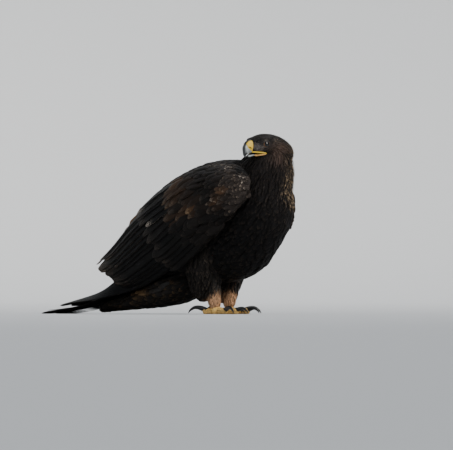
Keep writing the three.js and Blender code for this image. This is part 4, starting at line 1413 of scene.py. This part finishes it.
def build_eye(word, side):
    away, turn = np.meshgrid(np.linspace(0, 180, 60), np.arange(64) * 360 / 64, indexing="ij")
    tint = blend(PUPIL, IRIS, smoothstep(away, PUPIL_ANGLE - 1, PUPIL_ANGLE + 1))
    tint = blend(tint, PUPIL, smoothstep(away, IRIS_ANGLE - 2, IRIS_ANGLE + 4))
    placed_piece(f"eye_{word}", EYE, "eye", [f"eye_{word}"], (on_eye(side, EYE_RADIUS, away, turn), tint))


def build_lids(word, side):
    """A ring of lids round an eye, whose opening is lower under the brow."""
    around, ring = 72, len(LID_SECTION)
    turn = np.arange(around)[:, None] * 360 / around
    high = np.sin(np.radians(turn))
    beside, above, below = LID_OPENING
    opening = 1 / np.hypot(np.cos(np.radians(turn)) / beside, high / np.where(high > 0, above, below))
    beyond, height = np.array(LID_SECTION).T
    away, turn, radius = np.broadcast_arrays(opening + beyond, turn, EYE_RADIUS + height)
    spots = on_head(on_eye(side, radius[..., None], away, turn)).reshape(-1, 3)
    faces = turned_out(spots - spots.mean(0), ring_quads(around, ring, joined=True), np.zeros((0, 3), int))
    streak = np.exp(-(((turn - LID_STREAK[0]) / LID_STREAK[1]) ** 2)) * np.isin(np.arange(ring), STREAK_ROWS)
    pile = Pile()
    pile.add(spots, *faces, tint=with_alpha(blend(LID_DARK, BLEACHED, 0.35 * streak).reshape(-1, 3)))
    pile.build(f"lids_{word}", LID)


build_upper_bill()
build_cere()
build_lower_bill()
for word, side in (("left", 1), ("right", -1)):
    build_eye(word, side)
    build_lids(word, side)

# Feet
TOE_YELLOW = (0.95, 0.6, 0.17)
TOE_GROOVE = (0.1, 0.05, 0.014)
CLAW_BLACK = (0.006, 0.006, 0.006)
SCUTE = 5.2  # length of one plate along a toe
GRAIN = (1.6, 9)  # finer scales on a toe's sides: how many to a plate, and waves round it
PADS = 3.5  # a pad under a toe is this many plates long
TOE_ENDS = (0.16, 0.1)
CLAW_ENDS = (0.03, 0.05)
HEEL_PAD = 12
HEEL_HEIGHT = 9


def ripple(along, length):
    return np.abs(np.sin(math.pi * along / length))


def build_toe(pile, turn, toe_share, shade):
    """Adds one toe with its plates, its finer scales and its pads to a foot's pile."""
    t, degrees = turns(40, 96)
    high = np.sin(np.radians(degrees))
    along = t * abs(MIDDLE_TOE[0][1]) * toe_share
    top = smoothstep(high, 0.0, 0.45)
    grains = (ripple(along, SCUTE / GRAIN[0]) * np.abs(np.sin(np.radians(degrees) * GRAIN[1]))) ** 0.4
    scale = lerp(grains, ripple(along, SCUTE) ** 0.35, top)
    pads = ripple(along, SCUTE * PADS) ** 0.5 * (1 - smoothstep(high, -0.6, 0.0))
    lift = lerp(0.7, 1.6, top) * scale + 0.7 * pads - 1.0
    net = sleeve(MIDDLE_TOE)(t, degrees, lift, dome_ends(t, TOE_ENDS))
    tone = 0.85 + 0.3 * np.abs(np.sin(np.floor(along / SCUTE) * 7.3 + shade))
    tint = blend(TOE_GROOVE, TOE_YELLOW, scale) * lerp(1.0, tone, top)[..., None]
    form = turn @ Matrix.Diagonal((1, toe_share, 1, 1))
    pile.add_net(moved(net, form), tint=with_alpha(net_spots(tint)))


def build_talon(name, turn, start, share):
    """A claw of its own, as long as its share says and a little thinner for a short one."""
    thin = math.sqrt(share)
    form = turn @ Matrix.Translation((0, start, 0)) @ Matrix.Diagonal((thin, share, thin, 1))
    t, degrees = turns(32, 60)
    pile = Pile()
    net = sleeve(CLAW)(t, degrees, shrink=dome_ends(t, CLAW_ENDS))
    pile.add_net(moved(net, form), tint=(*CLAW_BLACK, 1.0))
    pile.build(f"talon_{name}", TALON, [f"claw_{name}"])


def build_foot(word, side, step):
    foot_at = (LEG_SPREAD + step[0], FOOT_Y + step[1], 0)
    placed = Matrix.Diagonal((side, 1, 1, 1)) @ Matrix.Translation(foot_at)
    pile = Pile()
    for name, degrees, toe_share, claw_share in TOES:
        turn = placed @ Matrix.Rotation(math.radians(degrees), 4, "Z")
        build_toe(pile, turn, toe_share, degrees)
        build_talon(f"{word}_{name}", turn, MIDDLE_TOE[0][1] * toe_share + TOE_SLIT, claw_share)
    away, turn = np.meshgrid(np.linspace(0, math.pi, 24), np.arange(32) * math.pi / 16, indexing="ij")
    ball = np.stack([np.sin(away) * np.cos(turn), np.sin(away) * np.sin(turn), np.cos(away)], -1) * HEEL_PAD
    pile.add_net(moved(ball + (0, 0, HEEL_HEIGHT), placed), tint=(*TOE_YELLOW, 1.0))
    pile.build(f"toes_{word}", TOE, [f"foot_{word}"])


build_foot("left", 1, LEFT_STEP)
build_foot("right", -1, RIGHT_STEP)

# Floor, light and camera
IMAGE = (453, 450)
PIXELS_PER_METRE = 400
CAMERA_AZIMUTH = math.radians(-60)
CAMERA_AWAY = 10.0
CAMERA_HEIGHT = 0.04
FRAME_CENTRE = (0.0075, 0.2225)  # metres to the right of the bird's middle, and above the floor


# name, azimuth, elevation and softness in degrees, energy and colour
LIGHTS = [
    ("key", -18, 25, 14, 3.2, (1.0, 0.95, 0.88)),
    ("top", 10, 62, 40, 1.3, (1.0, 0.98, 0.95)),
    ("fill", -112, 35, 50, 0.6, (0.96, 0.98, 1.0)),
    ("rim", 120, 50, 30, 0.5, (1.0, 1.0, 1.0)),
]
SKY = (0.8, 0.86, 0.95, 1)
SKY_STRENGTH = 0.3
FLOOR_REACH = 16.0
FLOOR_BEND = 3.0
WALL = 6.0
FLOOR_AROUND = 96


def camera():
    back = Vector((math.sin(CAMERA_AZIMUTH), -math.cos(CAMERA_AZIMUTH), 0))
    right = Vector((math.cos(CAMERA_AZIMUTH), math.sin(CAMERA_AZIMUTH), 0))
    target = Vector(SHIFT) + right * FRAME_CENTRE[0] + Vector((0, 0, FRAME_CENTRE[1]))
    data = bpy.data.cameras.new("camera")
    data.sensor_width = 36
    data.lens = data.sensor_width * CAMERA_AWAY * PIXELS_PER_METRE / IMAGE[0]
    data.clip_end = 100
    made = put_in_scene("camera", data)
    made.location = Vector((target.x, target.y, CAMERA_HEIGHT)) + back * CAMERA_AWAY
    made.rotation_euler = (target - made.location).to_track_quat("-Z", "Y").to_euler()
    bpy.context.scene.camera = made


def light(name, azimuth, elevation, softness, energy, colour):
    """A wide soft light from far off, so that the floor is lit alike all over."""
    a, e = math.radians(azimuth), math.radians(elevation)
    data = bpy.data.lights.new(name, "SUN")
    data.angle = math.radians(softness)
    data.energy = energy
    data.color = colour
    out = Vector((math.sin(a) * math.cos(e), -math.cos(a) * math.cos(e), math.sin(e)))
    made = put_in_scene(name, data)
    made.location = out * 5
    made.rotation_euler = out.to_track_quat("Z", "Y").to_euler()


def backdrop():
    """A wide floor that curves up into a low wall all round."""
    bend = np.linspace(0, math.pi / 2, 12)[1:]
    end = FLOOR_REACH + FLOOR_BEND
    flat = FLOOR_REACH * np.arange(1, 9) / 8
    radius = np.concatenate([flat, FLOOR_REACH + FLOOR_BEND * np.sin(bend), [end]])[:, None]
    height = np.concatenate([0 * flat, FLOOR_BEND * (1 - np.cos(bend)), [FLOOR_BEND + WALL]])[:, None]
    a = np.arange(FLOOR_AROUND) * 2 * math.pi / FLOOR_AROUND
    rings = np.stack([radius * np.cos(a), radius * np.sin(a), height + 0 * a], -1)
    quads, tris = closed_faces(len(rings) + 2, FLOOR_AROUND)
    data = bpy.data.meshes.new("floor")
    faces = tris[:FLOOR_AROUND, ::-1].tolist() + quads[:, ::-1].tolist()
    data.from_pydata([(0, 0, 0), *rings.reshape(-1, 3).tolist()], [], faces)
    data.polygons.foreach_set("use_smooth", [True] * len(faces))
    data.materials.append(backdrop_finish())
    put_in_scene("floor", data)


camera()
backdrop()
for row in LIGHTS:
    light(*row)
world = bpy.data.worlds.new("studio")
world.use_nodes = True
world.node_tree.nodes["Background"].inputs["Color"].default_value = SKY
world.node_tree.nodes["Background"].inputs["Strength"].default_value = SKY_STRENGTH
bpy.context.scene.world = world

FLESH = ("head", "neck", "torso", "mantle", "thigh", "tarsus", "undertail")
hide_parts(*[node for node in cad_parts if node.split("_")[0] in FLESH])
